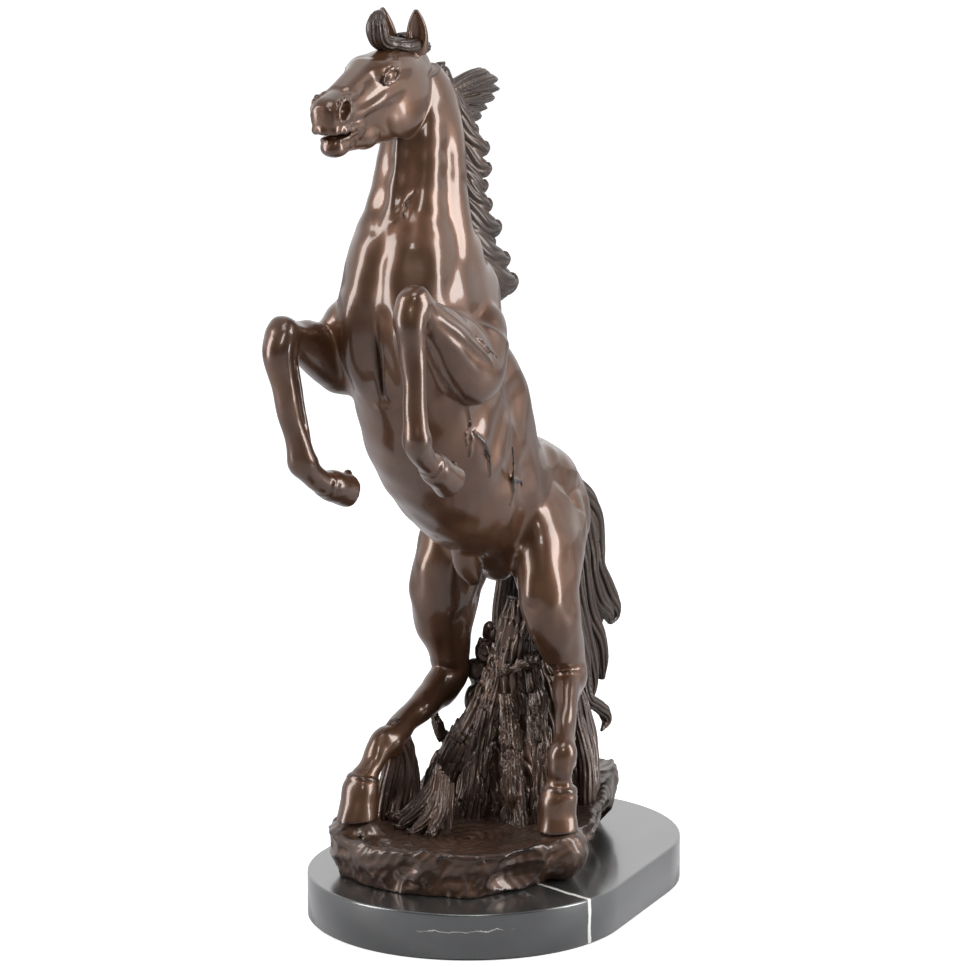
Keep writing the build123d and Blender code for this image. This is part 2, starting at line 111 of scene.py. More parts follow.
def blob(centre, radii, along=(1, 0, 0), side=(0, 1, 0)):
    """An ellipsoid whose first radius lies along a direction and whose second lies to a side."""
    centre = vec(*centre)
    first = unit(vec(*along))
    third = unit(np.cross(first, vec(*side)))
    axes = np.array([first, np.cross(third, first), third])
    radii = vec(*radii)

    def distance(p):
        q = (p - centre) @ axes.T
        k0 = np.sqrt(((q / radii) ** 2).sum(1))
        k1 = np.sqrt(((q / radii ** 2) ** 2).sum(1))
        return k0 * (k0 - 1) / np.maximum(k1, 1e-6)

    reach = np.sqrt(((axes * radii[:, None]) ** 2).sum(0))
    return Shape(distance, centre - reach, centre + reach)


def muscle(a, b, width, thickness, outward):
    """A spindle from a to b: so wide across, and so thick towards outward."""
    a, b = vec(*a), vec(*b)
    way = unit(b - a)
    flat = np.cross(vec(*outward), way)
    return blob((a + b) / 2, (np.linalg.norm(b - a) / 2, width, thickness), way, flat)


def smooth_table(rows, at):
    """Rows (t, values...) interpolated with a smooth curve through each value."""
    rows = np.array(rows, float)
    t = rows[:, 0]
    slopes = np.gradient(rows[:, 1:], t, axis=0)
    i = np.clip(np.searchsorted(t, at) - 1, 0, len(t) - 2)
    width = t[i + 1] - t[i]
    s = np.clip((at - t[i]) / width, 0, 1)[:, None]
    w = width[:, None]
    y0, y1 = rows[i, 1:], rows[i + 1, 1:]
    m0, m1 = slopes[i] * w, slopes[i + 1] * w
    return ((2 * s ** 3 - 3 * s ** 2 + 1) * y0 + (s ** 3 - 2 * s ** 2 + s) * m0
            + (-2 * s ** 3 + 3 * s ** 2) * y1 + (s ** 3 - s ** 2) * m1)


def oval(u, w, half_u, half_w):
    """Distance to an ellipse, good near its edge."""
    k0 = np.sqrt((u / half_u) ** 2 + (w / half_w) ** 2)
    k1 = np.sqrt((u / half_u ** 2) ** 2 + (w / half_w ** 2) ** 2)
    return k0 * (k0 - 1) / np.maximum(k1, 1e-6)


def bone(a, b, front, profile):
    """A straight limb bone. Profile rows: share of the length, front, back and side radius."""
    a, b = vec(*a), vec(*b)
    length = np.linalg.norm(b - a)
    way = (b - a) / length
    ahead = vec(*front)
    ahead = unit(ahead - (ahead @ way) * way)
    aside = np.cross(way, ahead)
    widest = max(max(row[1:]) for row in profile)

    def distance(p):
        q = p - a
        x = q @ way
        values = smooth_table(profile, np.clip(x / length, 0, 1))
        u = q @ ahead
        half_u = np.where(u > 0, values[:, 0], values[:, 1])
        d = oval(u, q @ aside, half_u, values[:, 2])
        over = np.maximum(np.maximum(-x, x - length), 0)
        return np.where(over > 0, np.hypot(np.maximum(d, 0), over) + np.minimum(d, 0) * 0.2, d)

    return Shape(distance, np.minimum(a, b) - widest, np.maximum(a, b) + widest)


def sweep_table(sections):
    """Rows of section number, middle point, unit rise, half height, half width and bias."""
    backs = np.array([s[0] for s in sections], float)
    bellies = np.array([s[1] for s in sections], float)
    rest = np.array([s[2:] for s in sections], float)
    halves = np.linalg.norm(backs - bellies, axis=1) / 2
    rises = (backs - bellies) / (2 * halves[:, None])
    return np.column_stack([np.arange(len(sections)), (backs + bellies) / 2, rises, halves, rest])


def sweep(sections, axes, origin):
    """Ovals between a back line and a belly line, in the middle plane of the given axes.

    Sections hold the back point, the belly point, the half width, and how much wider the back
    half is than the belly half.
    """
    table = sweep_table(sections)
    middles = table[:, 1:3]
    normals = np.stack([table[:, 4], -table[:, 3]], 1)
    last = len(sections) - 1

    def distance(p):
        q = (p - origin) @ axes.T
        flat = q[:, [0, 2]]
        ahead = ((flat[:, None, :] - middles) * normals).sum(2)
        share = np.full(len(q), -1.0)
        for i in range(len(sections) - 1):
            s0, s1 = ahead[:, i], ahead[:, i + 1]
            here = (s0 >= 0) & (s1 <= 0) & (share < 0)
            share = np.where(here, i + s0 / np.maximum(s0 - s1, 1e-6), share)
        before = (share < 0) & (ahead[:, 0] < 0)
        after = (share < 0) & ~before
        share = np.where(before, 0, np.where(after, last, share))
        over = np.where(before, -ahead[:, 0], np.where(after, np.abs(ahead[:, -1]), 0))
        values = smooth_table(table, share)
        rise = values[:, 2:4] / np.linalg.norm(values[:, 2:4], axis=1)[:, None]
        u = ((flat - values[:, 0:2]) * rise).sum(1)
        half_u = values[:, 4]
        half_w = values[:, 5] * (1 + values[:, 6] * np.clip(u / half_u, -1, 1))
        d = oval(u, q[:, 1], half_u, half_w)
        return np.where(over > 0, np.hypot(np.maximum(d, 0), over) + np.minimum(d, 0) * 0.1, d)

    widest = table[:, 6].max()
    corners = []
    for along, above in [point for section in sections for point in section[:2]]:
        for aside in (-widest, widest):
            corners.append(origin + vec(along, aside, above) @ axes)
    corners = np.array(corners)
    return Shape(distance, corners.min(0), corners.max(0))


def lock(stations, outward=(0, 1, 0), ridges=11, groove=0.8, twist=1.2, phase=0.0, soft=0.0):
    """A grooved strand through stations (forward, left, up, half width, half depth).

    soft is how many millimetres of the centre line share a point; it keeps thick bends even.
    """
    rows = [(i, *station) for i, station in enumerate(stations)]
    fine = 8
    line = smooth_table(rows, np.linspace(0, len(rows) - 1, fine * (len(rows) - 1) + 1))
    points = line[:, :3]
    halves = np.maximum(line[:, 3:5], 0.4)
    steps = np.gradient(points, axis=0)
    ways = steps / np.linalg.norm(steps, axis=1)[:, None]
    sides = np.cross(vec(*outward), ways)
    sides /= np.linalg.norm(sides, axis=1)[:, None]
    frames = np.concatenate([points, ways, sides, np.cross(ways, sides), halves], axis=1)
    last = len(points) - 1
    spacing = np.linalg.norm(steps, axis=1)
    square = (points ** 2).sum(1)

    def distance(p):
        share = np.empty(len(p))
        for first in range(0, len(p), POINTS_AT_ONCE):
            part = p[first:first + POINTS_AT_ONCE]
            away = square - 2 * part @ points.T
            if soft > 0:
                weight = np.exp((away.min(1)[:, None] - away) / (2 * soft * soft)) * spacing
                share[first:first + POINTS_AT_ONCE] = weight @ np.arange(last + 1) / weight.sum(1)
                continue
            nearest = np.argmin(away, axis=1)
            ahead = ((part - points[nearest]) * ways[nearest]).sum(1) / spacing[nearest]
            share[first:first + POINTS_AT_ONCE] = nearest + np.clip(ahead, -0.6, 0.6)
        for again in (soft > 0, False):
            share = np.clip(share, 0, last)
            i = np.minimum(share.astype(int), last - 1)
            t = (share - i)[:, None]
            here = frames[i] * (1 - t) + frames[i + 1] * t
            if not again:
                break
            ahead = ((p - here[:, 0:3]) * here[:, 3:6]).sum(1) / spacing[i]
            share += np.clip(ahead, -1.5, 1.5)
        q = p - here[:, 0:3]
        u = (q * here[:, 6:9]).sum(1)
        w = (q * here[:, 9:12]).sum(1)
        half_u, half_w = here[:, 12], here[:, 13]
        d = oval(u, w, half_u, half_w)
        if groove > 0:
            turn = np.arctan2(w / half_w, u / half_u) * ridges / 2 + phase
            turn += twist * share / fine + 0.6 * np.sin(share * 2.7 / fine + 3 * phase)
            d += groove * np.clip(half_u / 3, 0, 1) * (1 - np.abs(np.sin(turn)))
        over = np.where((share <= 0) | (share >= last), np.abs((q * here[:, 3:6]).sum(1)), 0)
        return np.where(over > 0, np.hypot(np.maximum(d, 0), over), d)

    reach = halves.max() + groove
    return Shape(distance, points.min(0) - reach, points.max(0) + reach)


def block(centre, halves, rounding, axes):
    """A box with rounded edges; axes are its length, width and height directions."""
    centre, halves = vec(*centre), vec(*halves)
    reach = (np.abs(np.array(axes)) * halves[:, None]).sum(0)

    def distance(p):
        q = np.abs((p - centre) @ np.array(axes).T) - (halves - rounding)
        outside = np.linalg.norm(np.maximum(q, 0), axis=1)
        return outside + np.minimum(q.max(1), 0) - rounding

    return Shape(distance, centre - reach, centre + reach)


def ripple(points, wavelength, seed, stretch=(1, 1, 1), waves=9):
    """Smooth bumps between about -1 and 1."""
    maker = np.random.default_rng(seed)
    ways = maker.normal(size=(waves, 3))
    ways /= np.linalg.norm(ways, axis=1)[:, None]
    ways *= (2 * math.pi / (wavelength * maker.uniform(0.6, 1.5, waves)))[:, None]
    phases = maker.uniform(0, 2 * math.pi, waves)
    total = np.sin((points * vec(*stretch)) @ ways.T + phases).sum(-1)
    return total * math.sqrt(2 / waves) * 0.6


def smooth_min(a, b, blend):
    """The nearer of two distances, rounded off where they meet."""
    if blend <= 0:
        return np.minimum(a, b)
    h = np.maximum(blend - np.abs(a - b), 0) / blend
    return np.minimum(a, b) - h * h * blend * 0.25


class Field:
    """Shapes added and cut in turn, each with its own softness."""

    def __init__(self):
        self.steps = []

    def add(self, shape, blend=4.0):
        self.steps.append((1, shape, blend))

    def cut(self, shape, blend=2.0):
        self.steps.append((-1, shape, blend))

    def roughen(self, relief_at, reach):
        """Adds relief_at(points) to the distance; positive values hollow the surface."""
        self.steps.append((0, relief_at, reach))

    def bounds(self):
        shapes = [shape for sign, shape, blend in self.steps if sign > 0]
        return (np.min([shape.low for shape in shapes], axis=0),
                np.max([shape.high for shape in shapes], axis=0))

    def evaluate(self, points, margin, start=None):
        """Distances for points given as (blocks, points in a block, 3)."""
        low = points.min(1)
        high = points.max(1)
        d = np.full(points.shape[:2], FAR) if start is None else start.copy()
        for sign, shape, blend in self.steps:
            if sign == 0:
                near = np.any(np.abs(d) < margin + blend, axis=1)
                if near.any():
                    d[near] += shape(points[near].reshape(-1, 3)).reshape(-1, points.shape[1])
                continue
            reach = margin + blend
            near = np.all((shape.low - reach <= high) & (shape.high + reach >= low), axis=1)
            if not near.any():
                continue
            value = shape.distance(points[near].reshape(-1, 3)).reshape(-1, points.shape[1])
            if sign > 0:
                d[near] = smooth_min(d[near], value, blend)
            else:
                d[near] = -smooth_min(-d[near], value, blend)
        return d


# ------------------------------------------------------------------ from fields to meshes
BLOCK = 12              # voxels along the edge of one block
BAND = 3.0              # voxels on each side of the surface that hold true distances
BLOCKS_AT_ONCE = 256


def mesh_pieces(function, names, low, high, voxel):
    """Meshes every named piece of function(points, margin), which returns one array per piece."""
    size = voxel * BLOCK
    counts = np.ceil((high - low) / size).astype(int)
    index = np.indices(counts).reshape(3, -1).T
    centres = low + (index + 0.5) * size
    near_limit = size * 1.15 + 2.0
    coarse = function(centres[:, None, :], near_limit + 2.0)
    grids = {}
    wanted = np.zeros(len(index), bool)
    for name, value in zip(names, coarse):
        grid = vdb.FloatGrid(BAND * voxel)
        value = value[:, 0]
        for i in index[value < -near_limit]:
            first = tuple(int(c) for c in i * BLOCK)
            last = tuple(c + BLOCK - 1 for c in first)
            grid.fill(first, last, -BAND * voxel, False)
        wanted |= np.abs(value) <= near_limit
        grids[name] = (grid, np.abs(value) <= near_limit)
    offsets = np.indices((BLOCK, BLOCK, BLOCK)).reshape(3, -1).T
    chosen = np.where(wanted)[0]
    for start in range(0, len(chosen), BLOCKS_AT_ONCE):
        batch = chosen[start:start + BLOCKS_AT_ONCE]
        points = low + (index[batch][:, None, :] * BLOCK + offsets) * voxel
        values = function(points, BAND * voxel)
        for name, value in zip(names, values):
            grid, near = grids[name]
            value = np.clip(value, -BAND * voxel, BAND * voxel)
            for row, block in enumerate(batch):
                if near[block]:
                    cube = value[row].reshape(BLOCK, BLOCK, BLOCK).astype(np.float32)
                    first = tuple(int(c) for c in index[block] * BLOCK)
                    grid.copyFromArray(cube, first, 0.0)
    result = {}
    for name in names:
        points, quads = grids[name][0].convertToQuads(0.0)
        result[name] = (low + points * voxel, quads[:, ::-1])
    return result


def relief(points, faces):
    """How far each vertex stands out of its neighbours: hollows below zero, ridges above."""
    edges = np.concatenate([faces[:, [0, 1]], faces[:, [1, 2]], faces[:, [2, 3]], faces[:, [3, 0]]])
    both = np.concatenate([edges, edges[:, ::-1]])
    count = np.bincount(both[:, 0], minlength=len(points)).astype(float)
    normal = np.zeros_like(points)
    face_normal = np.cross(points[faces[:, 2]] - points[faces[:, 0]],
                           points[faces[:, 3]] - points[faces[:, 1]])
    for corner in range(4):
        np.add.at(normal, faces[:, corner], face_normal)
    normal /= np.maximum(np.linalg.norm(normal, axis=1), 1e-9)[:, None]
    mean = np.zeros_like(points)
    for axis in range(3):
        mean[:, axis] = np.bincount(both[:, 0], points[both[:, 1], axis], len(points)) / count
    height = ((points - mean) * normal).sum(1)
    spread = height.copy()
    for _ in range(2):
        spread = np.bincount(both[:, 0], spread[both[:, 1]], len(points)) / count
    return 0.5 * height + 0.5 * spread


def to_row(points):
    """From the horse's millimetres to the row frame's metres."""
    return (HORSE_ORIGIN + points @ HORSE_AXES) * MM


def make_object(name, points, faces, material, ridge=None):
    """A smooth-shaded closed mesh object that rides on the statue."""
    mesh = bpy.data.meshes.new(name)
    mesh.from_pydata(points.tolist(), [], faces.tolist())
    mesh.polygons.foreach_set("use_smooth", np.ones(len(mesh.polygons), bool))
    if ridge is not None:
        attribute = mesh.attributes.new("ridge", "FLOAT", "POINT")
        attribute.data.foreach_set("value", ridge.astype(np.float32))
    mesh.update()
    obj = bpy.data.objects.new(name, mesh)
    bpy.context.collection.objects.link(obj)
    obj.data.materials.append(material)
    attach(obj, "root")
    return obj


# ------------------------------------------------------------------ the horse's anatomy
TORSO = [
    ((-97, 254), (-82, 230), 12, 0.0),
    ((-90, 268), (-60, 209), 29, 0.05),
    ((-70, 283), (-30, 207), 37, 0.08),
    ((-44, 298), (10, 225), 40, 0.05),
    ((-15, 319), (51, 249), 43, 0.0),
    ((9, 345), (89, 288), 46, 0.0),
    ((19, 374), (113, 334), 44, 0.0),
    ((26, 402), (122, 370), 41, -0.05),
    ((34, 428), (125, 402), 37, -0.1),
    ((38, 451), (117, 435), 29, -0.1),
    ((36, 476), (105, 470), 22.5, -0.05),
    ((36, 502), (99, 502), 19.5, 0.0),
    ((43, 526), (93, 522), 17, 0.0),
    ((58, 543), (90, 533), 12, 0.0),
]


def torso_section(share):
    """Middle, unit rise, half height, half width and bias of the trunk at that many TORSO rows."""
    row = smooth_table(sweep_table(TORSO), vec(share))[0]
    return row[0:2], unit(row[2:4]), row[4], row[5], row[6]


def on_torso(share, angle, rise=0.0):
    """A point on the trunk's or neck's skin; the angle turns from the belly to the left side."""
    middle, up, half, width, bias = torso_section(share)
    c, s = math.cos(math.radians(angle)), math.sin(math.radians(angle))
    width = width * (1 - bias * c)
    flat = middle - up * half * c
    out = unit(vec(-up[0] * c / half, s / width, -up[1] * c / half))
    return vec(flat[0], width * s, flat[1]) + rise * out


def ridge_line(field, places, radius, rise, blend):
    """A soft ridge over the torso through (share, angle) places."""
    points = [on_torso(share, angle, rise - radius) for share, angle in places]
    for a, b in zip(points, points[1:]):
        field.add(cone(a, b, radius, radius), blend)


def groove_line(field, places, radius, depth, blend):
    """A soft groove in the torso through (share, angle) places."""
    points = [on_torso(share, angle, radius - depth) for share, angle in places]
    for a, b in zip(points, points[1:]):
        field.cut(cone(a, b, radius, radius), blend)


def both_sides(draw, field, places, *sizes):
    """Draws ridges or grooves on the left and the right."""
    for side in (1, -1):
        draw(field, [(share, side * angle) for share, angle in places], *sizes)


def trunk_and_neck():
    """The trunk with its muscles; the neck goes on from the same sweep."""
    trunk = Field()
    trunk.add(sweep(TORSO, np.eye(3), np.zeros(3)), 0)
    for side in (1, -1):
        # breast muscles that stop square above the belly
        trunk.add(muscle((116, side * 14, 418), (106, side * 17, 347), 14.5, 16.5, (1, side * 0.5, 0.2)), 6)
        trunk.add(muscle((108, side * 24, 412), (94, side * 32, 352), 14, 13, (1, side * 1.2, 0)), 10)
        # shoulder blade up to the withers
        trunk.add(muscle((52, side * 25, 440), (98, side * 34, 386), 16, 9, (0.2, side, 0)), 8)
        trunk.add(muscle((36, side * 25, 420), (76, side * 39, 372), 17, 9, (0, side, 0)), 8)
        trunk.add(muscle((28, side * 24, 400), (66, side * 37, 362), 15, 8, (0, side, 0)), 10)
        # ribs, loin and croup
        trunk.add(muscle((32, side * 26, 368), (-10, side * 25, 302), 17, 11, (0, side, 0.2)), 14)
        trunk.add(muscle((-38, side * 20, 288), (-82, side * 12, 268), 17, 9, (0, side * 0.6, 1)), 8)
        trunk.add(cone((-34, side * 28, 284), (-54, side * 27, 272), 6, 8), 12)
        # buttock
        trunk.add(muscle((-72, side * 18, 268), (-66, side * 24, 218), 17, 16, (-1, side * 0.5, 0)), 10)
    # crease under the breast muscles and the deep one between them
    trunk.cut(muscle((121, -30, 342), (121, 30, 342), 3, 5.5, (1, 0, 0)), 5)
    trunk.cut(muscle((131, 0, 398), (117, 0, 346), 1.6, 5.5, (1, 0, 0.3)), 2.4)
    # belly line, flank folds and ribs
    both_sides(groove_line, trunk, [(4.1, 96), (3.8, 84), (3.5, 70), (3.1, 58)], 9, 1.1, 10)
    for share in (5.0, 5.6, 6.2):
        both_sides(groove_line, trunk, [(share, 124), (share - 0.4, 98), (share - 0.6, 76)], 14, 0.2, 10)
    # sheath: a soft pouch with a fold across its end
    trunk.add(muscle((26, 0, 243), (10, 0, 210), 9, 8, (1, 0, -0.4)), 4)
    trunk.add(muscle((8, 0, 232), (-22, 0, 210), 14, 8, (0, 0, -1)), 7)
    # windpipe, jugular groove and the long flat ridges of the neck
    both_sides(groove_line, trunk, [(11.4, 30), (10.9, 28), (10.4, 26), (9.9, 24), (9.4, 22), (8.9, 20)], 7,
               0.4, 7)
    both_sides(ridge_line, trunk,
               [(11.3, 61), (10.9, 57), (10.4, 54), (10.0, 52), (9.6, 50), (9.2, 46), (8.8, 40),
                                   (8.4, 32)], 9, 0.45, 8)
    both_sides(ridge_line, trunk, [(11.2, 97), (10.8, 98), (10.4, 99), (10.0, 101), (9.5, 103), (9.0, 104),
                                   (8.5, 106)], 11, 0.4, 9)
    # collar from the windpipe down into the breast
    both_sides(ridge_line, trunk, [(9.2, 30), (8.9, 27), (8.5, 24), (8.1, 20)], 9, 0.5, 10)
    both_sides(ridge_line, trunk, [(9.0, 62), (8.7, 56), (8.4, 49), (8.0, 40)], 10, 0.5, 10)
    return trunk


def limb(stations, side):
    """A limb through stations (forward, left, up, half from front to back, half width)."""
    stations = [(ahead, side * aside, up, deep, wide) for ahead, aside, up, deep, wide in stations]
    return lock(stations, outward=(0, side, 0), groove=0, soft=5.0)


def near_point(stations, i, side):
    """The middle of one station, on that side of the horse."""
    ahead, aside, up = stations[i][:3]
    return vec(ahead, side * aside, up)


def foreleg(stations, side):
    """A raised foreleg. Station 5 is the knee, station 10 the fetlock and the last one the coronet."""
    leg = Field()
    leg.add(limb(stations, side), 0)
    elbow, knee = near_point(stations, 1, side), near_point(stations, 5, side)
    fetlock, coronet = near_point(stations, 10, side), near_point(stations, -1, side)
    forearm, cannon = unit(knee - elbow), unit(fetlock - knee)
    ahead = unit(forearm - cannon)
    above = unit(vec(0, 0, 1) - forearm * forearm[2])
    out = vec(0, side, 0)
    # upper arm and triceps in the shoulder
    leg.add(muscle(elbow + vec(30, side * -8, 34), elbow + vec(-2, 0, 2), 15, 12, (0.4, side, 0)), 6)
    leg.add(muscle(elbow + vec(-26, side * -3, 34), elbow + vec(2, 0, -8), 15, 10, (0, side, 0)), 7)
    # long muscles of the forearm: above, beside and below
    leg.add(muscle(elbow + forearm * 12 + above * 9 + out * 3, knee - forearm * 8 + above * 5, 6.5, 8,
                   above), 2)
    leg.add(muscle(elbow + forearm * 2 + above * 1 + out * 10, knee - forearm * 12 + out * 6.5, 6, 7, out),
            1.8)
    leg.add(muscle(elbow - forearm * 4 - above * 11 + out * 7, knee - forearm * 14 - above * 4 + out * 4,
                   6.5, 8, out), 1.8)
    vein(leg, [knee - forearm * 10 + above * 6 + out * 7, elbow + forearm * 26 + above * 8 + out * 12,
               elbow + forearm * 8 + above * 6 + out * 15], 1.1)
    # point of the elbow
    leg.add(cone(elbow - forearm * 12 - above * 4, elbow - forearm * 4 - above * 12, 5, 7), 6)
    # knee: a squared front, a knob at each side and the small bone behind
    leg.add(block(knee + ahead * 1.2, (8.0, 7.8, 7), 4.8, (ahead, out, unit(np.cross(ahead, out)))), 4)
    leg.add(blob(knee + cannon * 7 + ahead * 1.5, (5, 8, 5.5), cannon, out), 2.5)
    for way in (1, -1):
        leg.add(cone(knee + out * way * 6 + cannon * 1, knee + out * way * 5.5 + cannon * 9, 3.6, 3.2), 2.5)
    leg.add(cone(knee + cannon * 6 - ahead * 6, knee + cannon * 11 - ahead * 8, 3.6, 3.4), 3)
    # tendon behind the cannon bone, with a groove between
    back = unit(-ahead + cannon * (ahead @ cannon))
    leg.add(cone(knee + cannon * 14 + back * 6.4, fetlock - cannon * 8 + back * 6.6, 2.9, 3.1), 1.2)
    # fetlock and its back bones
    leg.add(blob(fetlock, (8, 8.2, 7.6), cannon, out), 3)
    for way in (1, -1):
        leg.add(blob(fetlock + back * 6.5 + out * way * 2.8, (4.4, 3.4, 4), cannon, out), 2)
    return leg, coronet, ahead


def add_hoof(leg, coronet, toe, ahead, sole_way, widths):
    """A flared hoof cut off at its sole, under the soft lip of the coronet."""
    top, bottom, lateral = widths
    way = unit(toe - coronet)
    leg.add(bone(coronet - way * 1, toe + way * 8, ahead, [
        (0, top - 0.2, top - 0.2, top + 0.6), (0.06, top + 1.2, top + 1.0, top + 1.8),
        (0.5, (top + bottom) / 2 + 1, top + 1.8, (top + lateral) / 2 + 1.2),
        (1, bottom + 0.6, top + 2.6, lateral + 0.5)]), 1.0)
    leg.add(bone(coronet - way * 2.5, coronet + way * 1.2, ahead, [
        (0, top + 0.2, top + 0.2, top + 0.8), (0.5, top + 1.2, top + 1.2, top + 2),
        (1, top + 0.8, top + 0.8, top + 1.6)]), 1.2)
    leg.cut(slab(toe, sole_way, 18), 0.6)


def slab(centre, way, radius):
    """Everything beyond centre in one direction, for cutting an end off."""
    def distance(p):
        q = p - centre
        along = q @ way
        across = np.sqrt(np.maximum((q * q).sum(1) - along ** 2, 0))
        return np.maximum(-along, across - radius * 1.5)

    return Shape(distance, centre - radius * 1.5 - 10, centre + radius * 1.5 + 10)


def fore_with_hoof(stations, toe, side):
    leg, coronet, ahead = foreleg(stations, side)
    toe = vec(toe[0], side * toe[1], toe[2])
    way = unit(toe - coronet)
    front = unit(vec(0, 0, -1) + way * way[2])
    add_hoof(leg, coronet, toe, front, way, (7.0, 12.0, 11.2))
    leg.cut(blob(toe + way * 0.4, (2.6, 7.6, 6.6), way, vec(0, 1, 0)), 1.5)
    leg.add(cone(toe - way * 1.5 - front * 9, toe - way * 0.6 + front * 1.5, 2.6, 1.2), 1.0)
    return leg


def hind_leg(stations, hock_at, fetlock_at, sole, side):
    """A standing hind leg; hock_at and fetlock_at count its stations."""
    leg = Field()
    leg.add(limb(stations, side), 0)
    hip, stifle = near_point(stations, 0, side), near_point(stations, 2, side)
    hock, fetlock = near_point(stations, hock_at, side), near_point(stations, fetlock_at, side)
    coronet = near_point(stations, -1, side)
    shin, cannon = unit(hock - stifle), unit(fetlock - hock)
    out = vec(0, side, 0)
    front = unit(np.cross(out * side, cannon))
    if front[0] < 0:
        front = -front
    # thigh: the front muscle with the kneecap, and two long ones behind
    leg.add(muscle(hip + vec(26, side * 10, 12), stifle + vec(12, side * 4, 2), 13, 11, (0.6, side, 0)), 4)
    leg.add(muscle(hip + vec(16, side * -2, -8), stifle + vec(8, side * -12, -4), 11, 10, (0.8, -side, 0)), 4)
    leg.add(blob(stifle + vec(15, side * 1, 0), (8, 8, 11), (0.4, 0, 1)), 4)
    leg.add(muscle(hip + vec(-14, side * 10, 12), stifle + vec(-12, side * 3, -12), 12, 9, (0, side, 0)), 3)
    leg.add(muscle(stifle + vec(0, side * 7, 6), hock + vec(2, side * 3, 26), 9, 8, (0.2, side, 0)), 2)
    leg.add(muscle(stifle + vec(13, side * 1, -10), hock + front * 7 - shin * 18, 7, 7, (1, 0, 0)), 2)
    leg.add(muscle(stifle + vec(6, side * -9, -8), hock + vec(4, side * -4, 22), 7, 7, (0.6, -side, 0)), 2.5)
    # tendon to the point of the hock
    point = hock - front * 12 - cannon * 3
    leg.add(cone(stifle + (hock - stifle) * 0.62 - vec(16, 0, 0), point - shin * 6, 4.6, 3.6), 4)
    leg.add(cone(point - shin * 3, hock - front * 8 + cannon * 12, 4.6, 4.2), 3)
    # hock: bony sides and a skin fold across the front
    leg.add(blob(hock + out * 5, (9, 7, 5), cannon, front), 3)
    leg.add(blob(hock - out * 5, (9, 7, 5), cannon, front), 3)
    leg.add(cone(hock + front * 8 + out * 5 - cannon * 4, hock + front * 9.5 - out * 5 - cannon * 6, 2.4,
                 2.2), 1.6)
    # tendon behind the cannon bone
    leg.add(cone(hock - front * 8.5 + cannon * 14, fetlock - front * 7.4 - cannon * 9, 3.9, 3.5), 1.3)
    # fetlock and its back bones
    leg.add(blob(fetlock, (8.4, 9.2, 8.4), cannon, out), 3)
    for way in (1, -1):
        leg.add(blob(fetlock - front * 7 + out * way * 3, (5, 3.8, 4.4), cannon, out), 2)
    leg.add(cone(fetlock + vec(-4, 0, -3), coronet + vec(-5, 0, 2), 4.4, 5), 2.5)
    add_hoof(leg, coronet, sole, vec(1, 0, 0), vec(0, 0, -1), (8.6, 15.0, 12.6))
    return leg


# limb centre lines on the left side: forward, left, up, half from front to back, half width
LEFT_FORE = [
    (68, 43, 378, 16, 12), (82, 46, 362, 20, 14.5), (100, 45, 371, 18, 13.5),
    (120, 43, 390, 13.5, 11.5), (137, 41, 405, 10, 9.6), (147, 40, 412, 9.5, 10),
    (152, 40, 402, 9.5, 9.8), (151, 41, 388, 8.2, 8.4), (150.5, 42.5, 365, 7.4, 7.2),
    (151, 43.5, 343, 7.6, 7.4), (151, 44, 331, 8.6, 8.4), (143, 44, 320, 7, 7.2), (134, 44, 313, 7.4, 8),
]
LEFT_TOE = (112, 44, 300)
RIGHT_FORE = [
    (72, 40, 374, 18, 13), (86, 43, 362, 22, 15.5), (106, 44, 368, 20, 14.5), (126, 44, 375, 15, 12),
    (146, 43.5, 383, 10.5, 9.8), (160, 43, 388, 9.5, 10), (167, 42.8, 380, 9.5, 9.8),
    (165, 42, 366, 8.2, 8.4), (160.5, 39.5, 343, 7.4, 7.2), (155, 36.5, 321, 7.6, 7.4),
    (152, 35, 309, 8.6, 8.4), (143, 33, 300, 7, 7.2), (134, 31, 293.5, 7.4, 8),
]
RIGHT_TOE = (112, 29, 287)
LEFT_HIND = [
    (-42, 27, 246, 34, 19), (-25, 36, 228, 31, 19), (-13, 41, 208, 25, 17.5),
    (-14, 44, 190, 21.5, 16.5), (-22, 45.5, 171, 17, 13), (-30, 46, 158, 13.5, 10.4),
    (-31, 47, 150, 12.5, 10), (-21, 50.5, 143, 10, 9), (-6, 58, 131, 7.6, 7.0), (7, 64, 119, 7.2, 6.8),
    (15, 67.5, 110, 8.4, 8.2), (18, 68, 102, 7.8, 7.6), (17.5, 67, 95, 6.8, 7), (17.5, 67, 88, 8.4, 8.8),
]
LEFT_SOLE = vec(18, 66, 62)
RIGHT_HIND = [
    (-44, 28, 244, 35, 20), (-34, 36, 222, 34, 21), (-29, 41, 202, 32, 21), (-28, 43, 184, 28, 19),
    (-31, 43, 165, 21, 14.5), (-33, 42, 149, 16, 11.5), (-32, 42, 137, 14, 11),
    (-14, 42.6, 128.5, 11, 9.4), (8, 43.5, 121, 9.4, 8), (27, 44.4, 114.5, 8.6, 7.8),
    (41, 45, 110, 9, 8.8), (49, 46, 105, 8, 8), (56, 47, 98, 7, 7.4), (64, 48, 90, 8.4, 8.8),
]
RIGHT_SOLE = vec(70, -49, 66)

# ------------------------------------------------------------------ head
POLL = vec(80, -4, 555)
HEAD_YAW = math.radians(2.0)
HEAD_DROP = math.radians(9.0)
HEAD_AHEAD = vec(math.cos(HEAD_YAW), math.sin(HEAD_YAW), 0)
HEAD_LEFT = vec(-math.sin(HEAD_YAW), math.cos(HEAD_YAW), 0)
NOSE = HEAD_AHEAD * math.cos(HEAD_DROP) - UP * math.sin(HEAD_DROP)
BROW = np.cross(NOSE, HEAD_LEFT)
HEAD_AXES = np.array([NOSE, HEAD_LEFT, BROW])


